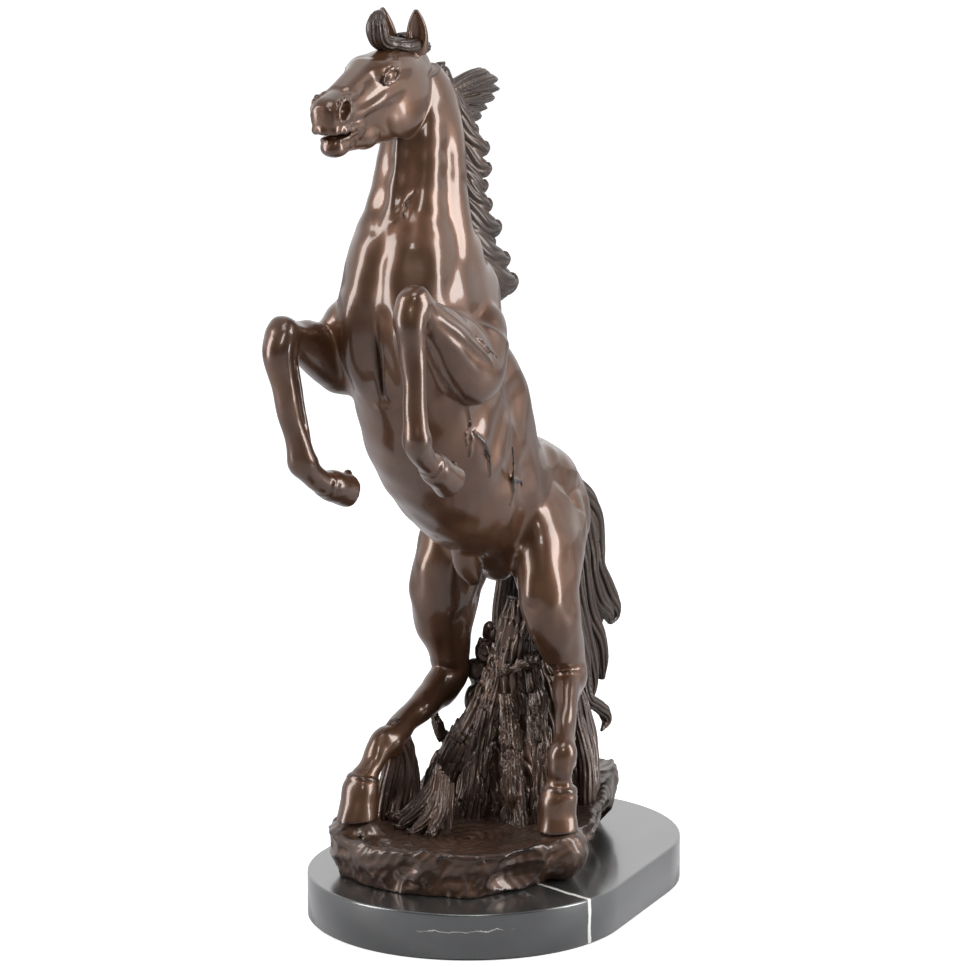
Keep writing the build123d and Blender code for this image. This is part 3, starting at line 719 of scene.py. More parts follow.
def on_head(along, aside, above):
    """A point along the head towards the nose, aside to its left and above the forehead."""
    return POLL + vec(along, aside, above) @ HEAD_AXES


def way_on_head(along, aside, above):
    return vec(along, aside, above) @ HEAD_AXES


HEAD = [
    ((-14, -8), (-12, -28), 8, 0),
    ((-6, -1), (-6, -36), 12, 0),
    ((8, 3), (8, -42), 14.5, 0.05),
    ((22, 5), (22, -42), 14.5, 0.1),
    ((36, 5.5), (38, -42), 13.8, 0.12),
    ((50, 4.5), (54, -40), 12.2, 0.1),
    ((64, 2), (68, -36), 10.6, 0.0),
    ((78, -1.5), (80, -32), 8.8, -0.05),
    ((90, -4.5), (91, -27), 8.4, -0.05),
    ((100, -6), (100, -25), 8.4, 0),
    ((106, -9), (106, -23), 6.8, 0),
]


def head_blob(head, centre, radii, along, blend, cut=False):
    """The same ellipsoid on both sides of the head, in the head's own axes."""
    for side in (1, -1):
        way = way_on_head(along[0], side * along[1], along[2])
        shape = blob(on_head(centre[0], side * centre[1], centre[2]), radii, way, HEAD_LEFT)
        (head.cut if cut else head.add)(shape, blend)


def head_line(head, places, radius, blend, cut=False):
    """The same string of round stretches on both sides of the head; radius may be a pair."""
    start, end = radius if isinstance(radius, tuple) else (radius, radius)
    count = len(places) - 1
    for side in (1, -1):
        for i in range(count):
            a, b = places[i], places[i + 1]
            shape = cone(on_head(a[0], side * a[1], a[2]), on_head(b[0], side * b[1], b[2]),
                         start + (end - start) * i / count, start + (end - start) * (i + 1) / count)
            (head.cut if cut else head.add)(shape, blend)


def ring(centre, half_along, half_above, tilt, aside_slope, count=10):
    """Places round an oval on the head's side: tilt turns it, aside_slope narrows it forwards."""
    places = []
    for i in range(count + 1):
        angle = 2 * math.pi * i / count
        a, b = half_along * math.cos(angle), half_above * math.sin(angle)
        along = a * math.cos(tilt) - b * math.sin(tilt)
        above = a * math.sin(tilt) + b * math.cos(tilt)
        places.append((centre[0] + along, centre[1] + aside_slope * along, centre[2] + above))
    return places


def head_field():
    head = Field()
    head.add(sweep(HEAD, HEAD_AXES, POLL), 0)
    # broad forehead over the eyes, straight nose bone with flat sides
    head_blob(head, (34, 8.5, -4), (20, 6.5, 6.5), (1, 0, 0.05), 6)
    head_blob(head, (47, 9.8, -1.2), (9.5, 4.0, 4.0), (1, -0.2, -0.1), 5)
    head_line(head, [(52, 4, 0.6), (82, 4.4, -6)], (4.2, 3.4), 5)
    # round cheek plate with a clear edge
    head_blob(head, (23, 9.0, -25), (26.5, 7.6, 24.5), (1, 0, 0), 2.5)
    head_blob(head, (20, 11.5, -30), (19, 6, 16), (1, 0, 0), 4)
    # long ridge from below the eye to the nose, and the hollow under it
    head_blob(head, (60, 9.8, -17.4), (21, 3.8, 4.2), (1, -0.13, -0.08), 5)
    head_blob(head, (68, 13.2, -11), (12, 3.2, 4.6), (1, -0.25, -0.15), 6, cut=True)
    head_blob(head, (60, 13.6, -28), (13, 3.0, 4.8), (1, -0.2, 0.1), 6, cut=True)
    # eye: ball in a shallow socket, thick upper lid, thin lower lid and the fold above
    head_blob(head, (47.5, 15.2, -5.2), (8.2, 2.2, 5.0), (1, -0.2, -0.12), 1.6, cut=True)
    head_blob(head, (47, 11.2, -5.4), (5.6, 4.2, 4.0), (1, -0.2, -0.1), 0.3)
    lids = ring((47, 14.0, -5.3), 7.6, 4.2, -0.14, -0.2)
    head_line(head, lids[:6], 1.5, 0.8)
    head_line(head, lids[5:], 1.0, 0.8)
    # muzzle with large flared nostrils
    head.add(block(on_head(96.5, 0, -15.5), (11.5, 9.4, 10.4), 7.6, HEAD_AXES), 4)
    nostril = (96.5, 8.8, -13)
    head_line(head, ring(nostril, 7.0, 5.6, -0.9, -0.12), 1.7, 1.0)
    head_blob(head, (96.5, 10.2, -13), (5.7, 6.2, 4.3), (0.62, -0.1, -0.78), 0.8, cut=True)
    head_line(head, [(88, 8.2, -7), (80, 7.6, -8), (72, 7.0, -7)], (2.2, 1.4), 3)
    # upper lip: a thick edge round the front
    head_line(head, [(106.5, 0, -23.4), (104.5, 6.0, -23.8), (97, 8.4, -25.0), (88, 8.2, -26.4),
                     (78, 7.8, -27.6)],
              (1.9, 1.7), 3)
    # corner of the mouth
    head_blob(head, (77, 6.6, -30), (5, 3.2, 5), (1, 0, 0.2), 4)
    # lower jaw and hanging lip
    head.add(cone(on_head(34, 0, -42), on_head(60, 0, -39), 7.5, 7.0), 5)
    head.add(cone(on_head(60, 0, -39), on_head(84, 0, -36.5), 7.0, 5.8), 4)
    head.add(block(on_head(92, 0, -34.2), (11, 7.0, 5.6), 5.2, HEAD_AXES), 4)
    head.add(blob(on_head(95, 0, -37.2), (9.5, 7.2, 5.0), way_on_head(1, 0, 0.15), HEAD_LEFT), 3)
    # open mouth
    head.cut(blob(on_head(94, 0, -27.8), (19, 9.5, 1.5), way_on_head(1, 0, 0.06), HEAD_LEFT), 0.8)
    head.cut(blob(on_head(104, 0, -28.8), (7, 5.4, 2.2), way_on_head(1, 0, 0.1), HEAD_LEFT), 1.2)
    head_line(head, [(101.5, 0, -31.2), (99, 5.6, -31), (91, 7.2, -30.8), (81, 7.4, -30.2)], (1.3, 1.1), 1.0)
    add_ears(head)
    return head


def add_ears(head):
    """Pricked ears, each a leaf folded round a hollow that faces forwards and out."""
    for side in (1, -1):
        root = on_head(4, side * 9, -3)
        tip = on_head(7, side * 11.5, 24.5)
        way = unit(tip - root)
        opening = unit(way_on_head(1, side * 0.45, -0.1))
        head.add(bone(root, tip, opening, [
            (0, 4.8, 5, 5.6), (0.3, 4.8, 4.8, 6.6), (0.6, 3.8, 4.0, 5.8), (0.85, 2.4, 2.4, 3.6),
            (1, 1.2, 1.2, 1.4)]), 2.5)
        head.cut(bone(root + way * 5 + opening * 4.2, tip - way * 2 + opening * 2.0, opening, [
            (0, 3.0, 2.6, 2.4), (0.35, 3.6, 3.4, 4.6), (0.7, 3.0, 2.6, 3.8), (1, 1.0, 1.0, 1.2)]), 0.7)


def vein(field, points, radius):
    """A raised vein through the points."""
    for i, (a, b) in enumerate(zip(points, points[1:])):
        thin = radius * (1 - 0.3 * i / len(points))
        field.add(cone(a, b, thin, thin * 0.93), 1.5)


GROUPS = ["body_casting", "head_casting", "left_foreleg", "right_foreleg", "left_hind_leg", "right_hind_leg"]
HEAD_SEAM = 503.0       # height of the level cut under the jaw
LAP = 3.0               # how far neighbouring castings run under each other
SEAM_SINK = 0.6        # how far the hidden lip of a casting dips under its neighbour
groups = {
    "body_casting": trunk_and_neck(),
    "head_casting": head_field(),
    "left_foreleg": fore_with_hoof(LEFT_FORE, LEFT_TOE, 1),
    "right_foreleg": fore_with_hoof(RIGHT_FORE, RIGHT_TOE, -1),
    "left_hind_leg": hind_leg(LEFT_HIND, 6, 10, LEFT_SOLE, 1),
    "right_hind_leg": hind_leg(RIGHT_HIND, 6, 10, RIGHT_SOLE, -1),
}
CASTINGS = ["body_casting", "neck_casting"] + GROUPS[1:]
# how softly each part runs into the body
JOIN = {"head_casting": 1.6, "left_foreleg": 6, "right_foreleg": 6, "left_hind_leg": 8, "right_hind_leg": 8}

# veins that lie over the joined surface
skin = Field()
for places in ([(5.9, 64), (5.6, 63), (5.4, 60), (5.2, 54)], [(5.5, 63), (5.25, 68), (5.0, 69), (4.7, 63)],
               [(5.6, 63), (5.5, 57), (5.35, 55)], [(4.7, 92), (4.5, 86), (4.3, 78), (4.15, 74), (4.0, 66)],
               [(4.3, 78), (4.1, 84), (4.0, 81)],
               [(10.4, 51), (10.2, 43), (10.0, 33), (9.8, 21), (9.6, 21), (9.5, 9)],
               [(10.0, 33), (9.85, 42), (9.7, 39)], [(9.6, 21), (9.45, 24), (9.3, 17)],
               [(4.9, -64), (4.6, -58), (4.4, -60), (4.1, -50)]):
    vein(skin, [on_torso(share, angle, 0.25) for share, angle in places], 0.8)


def seam_distances(points, margin):
    """The whole horse's skin, and each casting's share of it."""
    parts = {name: groups[name].evaluate(points, margin + 12) for name in GROUPS}
    total = parts["body_casting"]
    for name in GROUPS[1:]:
        total = smooth_min(total, parts[name], JOIN[name])
    total = skin.evaluate(points, margin, total)
    # the uneven touch of a hand-modelled surface, lighter on the head
    touch = np.interp(points[..., 2], (200, 280, 490, 505), (1.9, 1.0, 0.8, 0.3))
    total = total + touch * (0.42 * ripple(points, 30.0, 61) + 0.1 * ripple(points, 12.0, 62))
    # the body ends at the base of the neck, and the neck below the jaw
    body_end = (points - vec(126, 0, 402)) @ vec(0.27, 0, 0.96)
    head_end = points[..., 2] - HEAD_SEAM
    shares = {name: parts[name] for name in GROUPS[2:]}
    shares["body_casting"] = np.maximum(parts["body_casting"], body_end)
    shares["neck_casting"] = np.maximum(np.maximum(parts["body_casting"], -body_end), head_end)
    shares["head_casting"] = np.minimum(parts["head_casting"], np.maximum(parts["body_casting"], -head_end))
    return total, shares


def castings(names):
    """A function for mesh_pieces that gives the named castings."""
    def function(points, margin):
        total, shares = seam_distances(points, margin)
        values = []
        for name in names:
            rest = np.minimum.reduce([shares[other] for other in CASTINGS if other != name])
            own = (shares[name] - rest) * 0.5 - LAP
            sink = SEAM_SINK * np.clip((own + LAP) / LAP, 0, 1) ** 2
            values.append(np.maximum(total + sink, own))
        return values
    return function


# ------------------------------------------------------------------ mane, forelock and tail
CREST = [(400, 22), (424, 30), (451, 36), (476, 36), (502, 36), (526, 43), (546, 56)]


def crest_at(height):
    """How far forward the top line of the neck is at that height."""
    return np.interp(height, [row[0] for row in CREST], [row[1] for row in CREST])


def curl(tip, width, phase, aside=1, inset=0.0):
    """A short fat lock that drops from the crest, swings out and flicks up at its tip."""
    height = tip[2] + 10 + 2.2 * width
    root = vec(crest_at(height) - 1, 3 * aside, height)
    tip = vec(tip[0] + inset, tip[1] * aside, tip[2])
    stations = []
    for out, drop, size in ((0, 0, 0.8), (0.16, 0.40, 1.15), (0.46, 0.80, 1.25), (0.78, 1.02, 1.0),
                            (0.96, 1.0, 0.6),
                            (1, 0.86, 0.2)):
        spot = root + (tip - root) * vec(out, out, drop)
        stations.append((*spot, width * size, width * size * 1.1))
    return lock(stations, ridges=9, groove=1.0, phase=phase)


# tips of the locks that stand out behind the neck, from the poll downwards, with their widths
MANE_TIPS = [
    (26, 8, 509, 4.4), (22, 9, 499, 5.4), (11, 10, 487, 6.2), (10, 11, 474, 6.0), (14, 11, 464, 5.6),
    (11, 12, 452, 6.4), (2, 13, 437, 7.4), (7, 12, 428, 6.4), (-6, 14, 416, 8.2), (-15, 14, 401, 9.4),
    (-4, 15, 398, 8.0), (6, 13, 399, 6.4),
]
# strands of the lock that flies out behind the poll: how far back it ends, middle and end height
FLYING_STRANDS = [
    (3, 531, 531), (-7, 527, 526), (-9, 522, 520), (-3, 517, 515), (6, 512, 510), (14, 508, 505),
]


def mane_field():
    mane = Field()
    for height in range(400, 530, 9):
        spot = (crest_at(height), 1, height)
        above = (crest_at(height + 9), 1, height + 9)
        mane.add(cone(spot, above, 5.5, 5.5), 2)
    for i, (ahead, aside, height, width) in enumerate(MANE_TIPS):
        mane.add(curl((ahead, aside, height), width, 1.3 * i), 0.6)
        mane.add(curl((ahead, aside - 3, height - 6), width * 0.75, 2.1 * i, inset=8), 0.6)
        mane.add(curl((ahead, aside, height - 5), width, 0.7 * i, aside=-1, inset=5), 0.6)
        mane.add(curl((ahead, aside + 4, height), width * 0.9, 1.9 * i, aside=-1, inset=13), 0.6)
    # short bristles behind the ears
    for i, height in enumerate(range(520, 544, 4)):
        foot = vec(crest_at(height) + 2, 1.5, height)
        mane.add(lock([(*foot, 3, 3), (*(foot + vec(-3, 1, 1)), 2.2, 2.4),
                       (*(foot + vec(-5, 2, 2.5)), 0.6, 0.8)],
                      phase=i, groove=0.5), 0.8)
    for i, (back, middle, end) in enumerate(FLYING_STRANDS):
        root = (46, 4 + 0.5 * (i % 2), 527 - 3 * i)
        half_way = ((46 + back) / 2, 6 + 1.5 * (i % 2), middle)
        shoulder = (46 + (back - 46) * 0.82, 6 + 1.5 * (i % 2), (middle + 2 * end) / 3 + 0.8)
        mane.add(lock([(*root, 3, 3.4), (*half_way, 3.8, 4.6), (*shoulder, 3.6, 4.2),
                       (back, 7, end, 1.2, 1.6)],
                      ridges=9, phase=1.1 * i, groove=0.9), 0.6)
    return mane


def forelock_field():
    forelock = Field()
    forelock.add(lock([(78, 0, 553, 4.4, 5), (92, -1, 556, 5, 6.4), (106, -3, 558.5, 5.4, 7),
                       (115, -3, 563, 5.4, 7),
                       (118, -3, 570, 5, 6.6), (115.5, -3, 576, 3.8, 5), (111.5, -3, 578.5, 1.6, 2.2)],
                      ridges=13, groove=0.9, twist=0.9), 0.8)
    forelock.add(lock([(74, 5, 554, 4, 4), (86, 5.5, 556.5, 4.4, 4.6), (98, 4, 557.5, 4.2, 4.4),
                       (108, 1, 559, 2.6, 3)],
                      phase=1.0), 0.8)
    forelock.add(lock([(70, -3, 552, 4, 4), (79, -5, 559, 4, 4.6), (88, -6, 562, 1.6, 1.8)], phase=2.0), 0.8)
    return forelock


# centre lines of the tail's locks: forward, left, up, half width, half depth
TAIL_LOCKS = [
    [(-92, 2, 256, 4, 5), (-110, 3, 253, 6, 7), (-126, 4, 242, 7, 7), (-136, 5, 226, 7, 7),
     (-139, 6, 208, 6, 6), (-138, 7, 194, 6, 6), (-147, 8, 179, 6.5, 6), (-159, 8, 164, 5.5, 5),
     (-162, 8, 155, 3, 3), (-155, 8, 151, 1, 1)],
    [(-94, 4, 252, 4, 4), (-112, 5, 243, 6, 6), (-122, 7, 227, 6.5, 6), (-127, 8, 209, 6, 6),
     (-126, 9, 191, 6, 6), (-133, 10, 175, 6, 6), (-146, 10, 162, 5, 5), (-151, 10, 153, 2, 2)],
    [(-95, 5, 246, 4, 4), (-108, 7, 231, 5.5, 5), (-113, 9, 210, 6, 6), (-114, 10, 190, 6, 6),
     (-120, 11, 168, 6.5, 6), (-131, 11, 149, 6.5, 6), (-139, 10, 132, 5.5, 5), (-142, 9, 117, 2.4, 2.4)],
    [(-95, 5, 242, 4, 4), (-101, 8, 224, 5, 5), (-101, 11, 202, 6, 6), (-102, 13, 180, 6, 6),
     (-107, 14, 157, 6.5, 6), (-117, 14, 136, 6, 5), (-123, 12, 118, 5, 4), (-119, 11, 102, 1.6, 1.6)],
    [(-94, 6, 236, 4, 4), (-92, 11, 212, 5, 5), (-90, 14, 188, 6, 6), (-92, 16, 164, 6, 6),
     (-98, 18, 142, 6, 6), (-98, 20, 124, 5, 5), (-92, 22, 108, 2, 2)],
    [(-98, 20, 128, 4, 4), (-97, 23, 116, 4.5, 4.5), (-106, 24, 110, 4.5, 4.5),
     (-117, 24, 103, 4.5, 4.5), (-121, 24, 95, 3.5, 3.5), (-114, 24, 90, 1, 1)],
]


def tail_field():
    tail = Field()
    for i, stations in enumerate(TAIL_LOCKS):
        tail.add(lock(stations, ridges=9, phase=1.1 * i, twist=0.8, groove=1.3), 0.6)
        if i < 5:
            # fuller hair between, and on the tail's right side
            middle = [(a + 4, b - 10, c - 3, u, w) for a, b, c, u, w in stations]
            right = [(a + 6, 4 - b * 1.6 - 14, c - 8 + 3 * (i % 2), u, w) for a, b, c, u, w in stations]
            tail.add(lock(middle, phase=1.7 * i + 1, twist=0.8, groove=1.0), 0.6)
            tail.add(lock([(-92, -1, 254, 4, 4)] + right[1:], phase=0.9 * i + 2, twist=0.8, groove=1.0), 0.6)
    tail.add(cone((-84, 0, 254), (-104, 0, 254), 9, 9), 3)
    return tail


# ------------------------------------------------------------------ stump and grass
STUMP_LOCKS = [
    [(-27, 11, 195, 9, 6), (-26, 10, 178, 12, 10), (-26, 7, 152, 14, 13), (-27, 4, 125, 18, 16),
     (-28, 3, 95, 25, 21), (-28, 3, 56, 33, 28)],
    [(-22, -2, 158, 5, 5), (-17, -9, 128, 8, 7), (-9, -19, 104, 10, 8), (-2, -29, 80, 12, 9),
     (4, -36, 54, 13, 9)],
    [(-19, 4, 150, 6, 5), (-11, -1, 118, 9, 7), (-4, -5, 88, 11, 8), (4, -7, 54, 13, 9)],
    [(-13, 12, 136, 6, 4), (-8, 16, 114, 8, 5), (-3, 21, 90, 9, 5), (2, 25, 54, 12, 7)],
    [(-24, 22, 160, 5, 6), (-20, 30, 132, 7, 7), (-14, 36, 105, 7, 7), (-10, 39, 80, 8, 8),
     (-6, 41, 54, 12, 9)],
    [(-22, 0, 144, 4, 4), (-15, 8, 149, 4.5, 4), (-13, 20, 154, 4, 3.5), (-14, 30, 159, 3.6, 3),
     (-19, 38, 163, 2.4, 2)],
    [(-40, -8, 150, 9, 8), (-48, -17, 112, 13, 12), (-56, -26, 54, 18, 15)],
    [(-42, 14, 160, 8, 8), (-52, 22, 112, 13, 12), (-62, 26, 54, 17, 15)],
    [(-30, -22, 120, 6, 6), (-24, -32, 96, 8, 8), (-18, -42, 54, 12, 10)],
    [(-28, -34, 84, 6, 6), (-23, -42, 100, 4.5, 4.5), (-20, -45, 110, 4, 4), (-19, -43, 117, 1.6, 1.6)],
]


def bark(points):
    """Long upright splits and small chips in the bark."""
    wander = 4.0 * ripple(points, 30.0, 21)[..., None]
    splits = 1 - np.abs(ripple(points + wander, 7.0, 22, stretch=(1, 1, 0.16)))
    chips = np.maximum(ripple(points + wander, 13.0, 24, stretch=(1, 1, 0.5)), 0)
    return 2.0 * splits ** 3 + 1.6 * chips - 0.4 * ripple(points, 6.0, 23, stretch=(1, 1, 0.3))


def stump_field():
    stump = Field()
    for i, stations in enumerate(STUMP_LOCKS):
        stump.add(lock(stations, outward=(1, 0, 0), ridges=15, groove=1.6, twist=0.5, phase=1.3 * i), 1.5)
    for centre, radius in (((-46, -22, 152), 8), ((-50, -30, 137), 9), ((-46, -27, 120), 11),
                           ((-42, -16, 168), 7)):
        stump.add(blob(centre, (radius, radius, radius * 1.2)), 2)
    stump.roughen(bark, 2.5)
    return stump


# every tuft is a few locks that rise from the ground and lean together
TUFT_LOCKS = [
    [(28, -46, 56, 10, 7), (21, -45, 74, 8.5, 7), (19, -44, 94, 7.5, 6), (25, -44, 112, 6.5, 5),
     (34, -44, 118, 5, 4), (41, -46, 113, 2.5, 2.5)],
    [(35, -53, 56, 8, 6), (30, -51, 76, 7.5, 6), (28, -48, 96, 7, 5.5), (33, -46, 108, 5, 4.5),
     (39, -47, 107, 2, 2)],
    [(20, -42, 56, 7, 6), (14, -42, 72, 5, 5), (13, -43, 90, 4, 4), (20, -44, 106, 2, 2)],
    [(28, -15, 96, 2, 2), (31, -16, 84, 4.5, 4), (36, -24, 70, 5.5, 4.5), (42, -33, 61, 4, 3.5),
     (46, -37, 63, 1.2, 1.2)],
    [(28, -14, 92, 3, 3), (33, -15, 78, 5, 4.5), (41, -23, 65, 5, 4.5), (49, -30, 58, 3.6, 3),
     (54, -32, 60, 1.2, 1.2)],
    [(28, -12, 90, 3, 3), (34, -12, 74, 5.5, 5), (44, -15, 62, 5, 4.5), (54, -19, 57, 3.6, 3),
     (58, -20, 60, 1.2, 1.2)],
    [(27, -10, 88, 3, 3), (33, -8, 72, 5.5, 5), (42, -8, 62, 5, 4.5), (52, -7, 57, 3.6, 3),
     (56, -6, 60, 1.2, 1.2)],
    [(26, -18, 86, 3, 3), (29, -24, 74, 5, 4.5), (33, -33, 64, 4.5, 4), (36, -42, 59, 3.4, 3),
     (40, -46, 62, 1.2, 1.2)],
    [(24, -12, 84, 6, 6), (26, -13, 70, 9, 8), (30, -14, 54, 11, 9)],
    [(-66, 40, 56, 9, 7), (-72, 38, 74, 9, 7), (-80, 33, 92, 8, 6.5), (-84, 28, 108, 6.5, 5.5),
     (-86, 23, 124, 3, 3)],
    [(-60, 44, 56, 7, 6), (-62, 43, 74, 7, 6), (-66, 38, 92, 6, 5), (-72, 30, 110, 4.5, 4),
     (-80, 24, 124, 2, 2)],
    [(-78, 36, 56, 8, 7), (-85, 32, 72, 7, 6), (-90, 28, 90, 6, 5), (-92, 24, 106, 3, 3)],
]


def grass_field():
    grass = Field()
    for i, stations in enumerate(TUFT_LOCKS):
        grass.add(lock(stations, ridges=11, groove=1.0, twist=0.7, phase=1.9 * i), 1.0)
    grass.roughen(lambda p: 0.35 * ripple(p, 6.0, 31, stretch=(1, 1, 0.3)), 1.0)
    return grass


# ------------------------------------------------------------------ ground
PLINTH_TOP = 30.0
PLINTH_EDGE = 1.2
PLINTH_CORNERS = 192
GROUND_TOP = 58.0
ROCK_HEIGHT = GROUND_TOP - PLINTH_TOP
# corners of the rock in the row's millimetres, at its foot and at its rim
GROUND_FOOT = [(-68, -96), (-42, -108), (-16, -116), (6, -116), (27, -112), (44, -88), (56, -62), (55, -27),
               (52, 11), (45, 48), (38, 84), (20, 106), (-18, 108), (-48, 84), (-62, 44), (-60, 4),
               (-68, -44)]
GROUND_RIM = [(-82, -90), (-49, -113), (-18, -118), (8, -117), (33, -111), (56, -86), (72, -56), (74, -22),
              (63, 20), (55, 60), (48, 94), (27, 118), (-20, 119), (-54, 96), (-70, 50), (-71, 6), (-84, -44)]
GROUND_CENTRE = vec(-6, -4)


def outline_radius(corners, angle):
    """Distance from the ground's centre to a closed outline, by angle."""
    around = np.array(corners, float) - GROUND_CENTRE
    angles = np.arctan2(around[:, 1], around[:, 0])
    order = np.argsort(angles)
    return np.interp(angle, angles[order], np.linalg.norm(around, axis=1)[order], period=2 * math.pi)


def ground_shape():
    """The rock: a wide body under a rim that leans out, with a dished top."""
    def distance(p):
        world = HORSE_ORIGIN + p @ HORSE_AXES
        flat = world[:, :2] - GROUND_CENTRE
        height = world[:, 2]
        angle = np.arctan2(flat[:, 1], flat[:, 0])
        radius = np.linalg.norm(flat, axis=1)
        rise = np.clip((height - PLINTH_TOP) / (GROUND_TOP - PLINTH_TOP), 0, 1.2)
        foot = outline_radius(GROUND_FOOT, angle)
        rim = outline_radius(GROUND_RIM, angle)
        edge = foot - 3 + (rim + 1 - foot) * np.sin(np.minimum(rise, 1) * math.pi / 2) ** 0.8
        edge += 1.6 * ripple(p, 22.0, 41)
        inside = rim - radius
        # the rim stands up a little, the middle is dished, and the back right corner climbs
        top = GROUND_TOP - 1.5 + 2.6 * np.exp(-((inside - 5) / 5.0) ** 2)
        top -= 3.0 * np.exp(-(((p[:, 0] - 38) / 30) ** 2 + ((p[:, 1] - 14) / 26) ** 2))
        top += 10 * np.clip((world[:, 1] - 30) / 50, 0, 1) * np.clip((world[:, 0] - 5) / 35, 0, 1)
        top += 3.0 * np.exp(-(((p[:, 0] + 25) / 45) ** 2 + (p[:, 1] / 45) ** 2))
        top += 0.7 * ripple(p, 17.0, 42, stretch=(1, 1, 0))
        ring = np.hypot(p[:, 0] - 40, (p[:, 1] - 12) * 1.2)
        top += 0.35 * np.sin(ring * 2 * math.pi / 6.5) * np.exp(-(ring / 34) ** 2)
        side = (radius - edge) * 0.85
        d = -smooth_min(-side, -(height - top), 3.0)
        return -smooth_min(-d, height - PLINTH_TOP, 0.8)

    low = vec(-175, -115, 25)
    high = vec(140, 105, 85)
    return Shape(distance, low, high)


def chips():
    """The hollow facets chiselled round the rock's side, as centres and radii."""
    maker = np.random.default_rng(5)
    found = []
    for row, (height, count) in enumerate(((37, 15), (50, 17))):
        for i in range(count):
            angle = 2 * math.pi * (i + 0.5 * (row % 2) + maker.uniform(-0.25, 0.25)) / count
            size = maker.uniform(0.75, 1.3)
            radius = (outline_radius(GROUND_FOOT, angle) * (GROUND_TOP - height) / ROCK_HEIGHT
                      + outline_radius(GROUND_RIM, angle) * (height - PLINTH_TOP) / ROCK_HEIGHT)
            depth = maker.uniform(8.0, 10.0)
            out = vec(math.cos(angle), math.sin(angle))
            spot = GROUND_CENTRE + out * (radius + depth * size)
            found.append((vec(*spot, height + maker.uniform(-2.5, 2.5)), out, size * 11.5, size * 24,
                          size * 9.5))
    return found


def from_row(point):
    """From the row frame in millimetres to the horse's own axes."""
    return HORSE_AXES @ (vec(*point) - HORSE_ORIGIN)


def ground_field():
    ground = Field()
    ground.add(ground_shape(), 0)
    for spot, out, deep, wide, tall in chips():
        way = HORSE_AXES @ vec(*out, 0)
        ground.cut(blob(from_row(spot), (deep, wide, tall), way, np.cross(UP, way)), 0.5)
    # low rises under the standing hooves
    for sole in (LEFT_SOLE, RIGHT_SOLE):
        ground.add(cone(sole - vec(2, 0, 14), sole - vec(2, 0, 9.5), 18, 9), 6)
    # cracks along the front rim
    for start, end, depth in (((-8, -108, 53), (14, -109, 52), 2.2), ((14, -109, 52), (36, -104, 55), 1.4),
                              ((-70, -84, 58), (-44, -102, 57), 1.4),
                              ((-44, -102, 57), (-10, -106, 56), 1.0)):
        ground.cut(cone(from_row(start), from_row(end), depth, depth * 0.7), 1.2)
    ground.roughen(lambda p: 0.3 * ripple(p, 8.0, 43), 1.0)
    return ground


def plinth_mesh():
    """The slab with round ends, its upper edge eased."""
    low, high = [vec(*corner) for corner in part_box("plinth")]
    half_width = (high[0] - low[0]) / 2
    straight = (high[1] - low[1]) / 2 - half_width
    ease = PLINTH_EDGE * MM
    rows = [(ease, low[2]), (0, low[2] + ease)]
    for step in range(5):
        angle = math.pi / 8 * step
        rows.append((ease * (1 - math.cos(angle)), high[2] - ease + ease * math.sin(angle)))
    corners = PLINTH_CORNERS
    points = []
    for inset, height in rows:
        for i in range(corners):
            angle = 2 * math.pi * (i + 0.5) / corners
            shift = straight if math.sin(angle) > 0 else -straight
            radius = half_width - inset
            points.append(((low[0] + high[0]) / 2 + radius * math.cos(angle),
                           (low[1] + high[1]) / 2 + shift + radius * math.sin(angle), height))
    faces = []
    for row in range(len(rows) - 1):
        for i in range(corners):
            j = (i + 1) % corners
            faces.append((row * corners + i, row * corners + j, (row + 1) * corners + j,
                          (row + 1) * corners + i))
    faces.append(tuple(reversed(range(corners))))
    faces.append(tuple(range((len(rows) - 1) * corners, len(rows) * corners)))
    return points, faces


# ------------------------------------------------------------------ materials
def node_material(name):
    """A new node material, its node tree and its Principled shader."""
    material = bpy.data.materials.new(name)
    material.use_nodes = True
    tree = material.node_tree
    shader = tree.nodes["Principled BSDF"]
    return material, tree, shader


def link(tree, a, b):
    tree.links.new(a, b)


def noise_node(tree, scale, detail=4.0, roughness=0.55, stretch=(1, 1, 1)):
    """Noise in object space; scale is in cycles per metre."""
    coordinates = tree.nodes.new("ShaderNodeTexCoord")
    mapping = tree.nodes.new("ShaderNodeMapping")
    mapping.inputs["Scale"].default_value = stretch
    noise = tree.nodes.new("ShaderNodeTexNoise")
    noise.inputs["Scale"].default_value = scale
    noise.inputs["Detail"].default_value = detail
    noise.inputs["Roughness"].default_value = roughness
    link(tree, coordinates.outputs["Object"], mapping.inputs["Vector"])
    link(tree, mapping.outputs["Vector"], noise.inputs["Vector"])
    return noise


def ramp_node(tree, source, stops):
    ramp = tree.nodes.new("ShaderNodeValToRGB")
    elements = ramp.color_ramp.elements
    while len(elements) < len(stops):
        elements.new(0.5)
    for element, (position, colour) in zip(elements, stops):
        element.position = position
        element.color = (*colour, 1)
    link(tree, source, ramp.inputs["Fac"])
    return ramp


def mix_colour(tree, factor, a, b, blend="MIX"):
    mix = tree.nodes.new("ShaderNodeMix")
    mix.data_type = "RGBA"
    mix.blend_type = blend
    for socket, value in ((mix.inputs["Factor"], factor), (mix.inputs["A"], a), (mix.inputs["B"], b)):
        if hasattr(value, "links"):
            link(tree, value, socket)
        elif isinstance(value, tuple):
            socket.default_value = (*value, 1)
        else:
            socket.default_value = value
    return mix.outputs["Result"]


def socket_value(tree, socket, value):
    if hasattr(value, "links"):
        link(tree, value, socket)
    else:
        socket.default_value = value


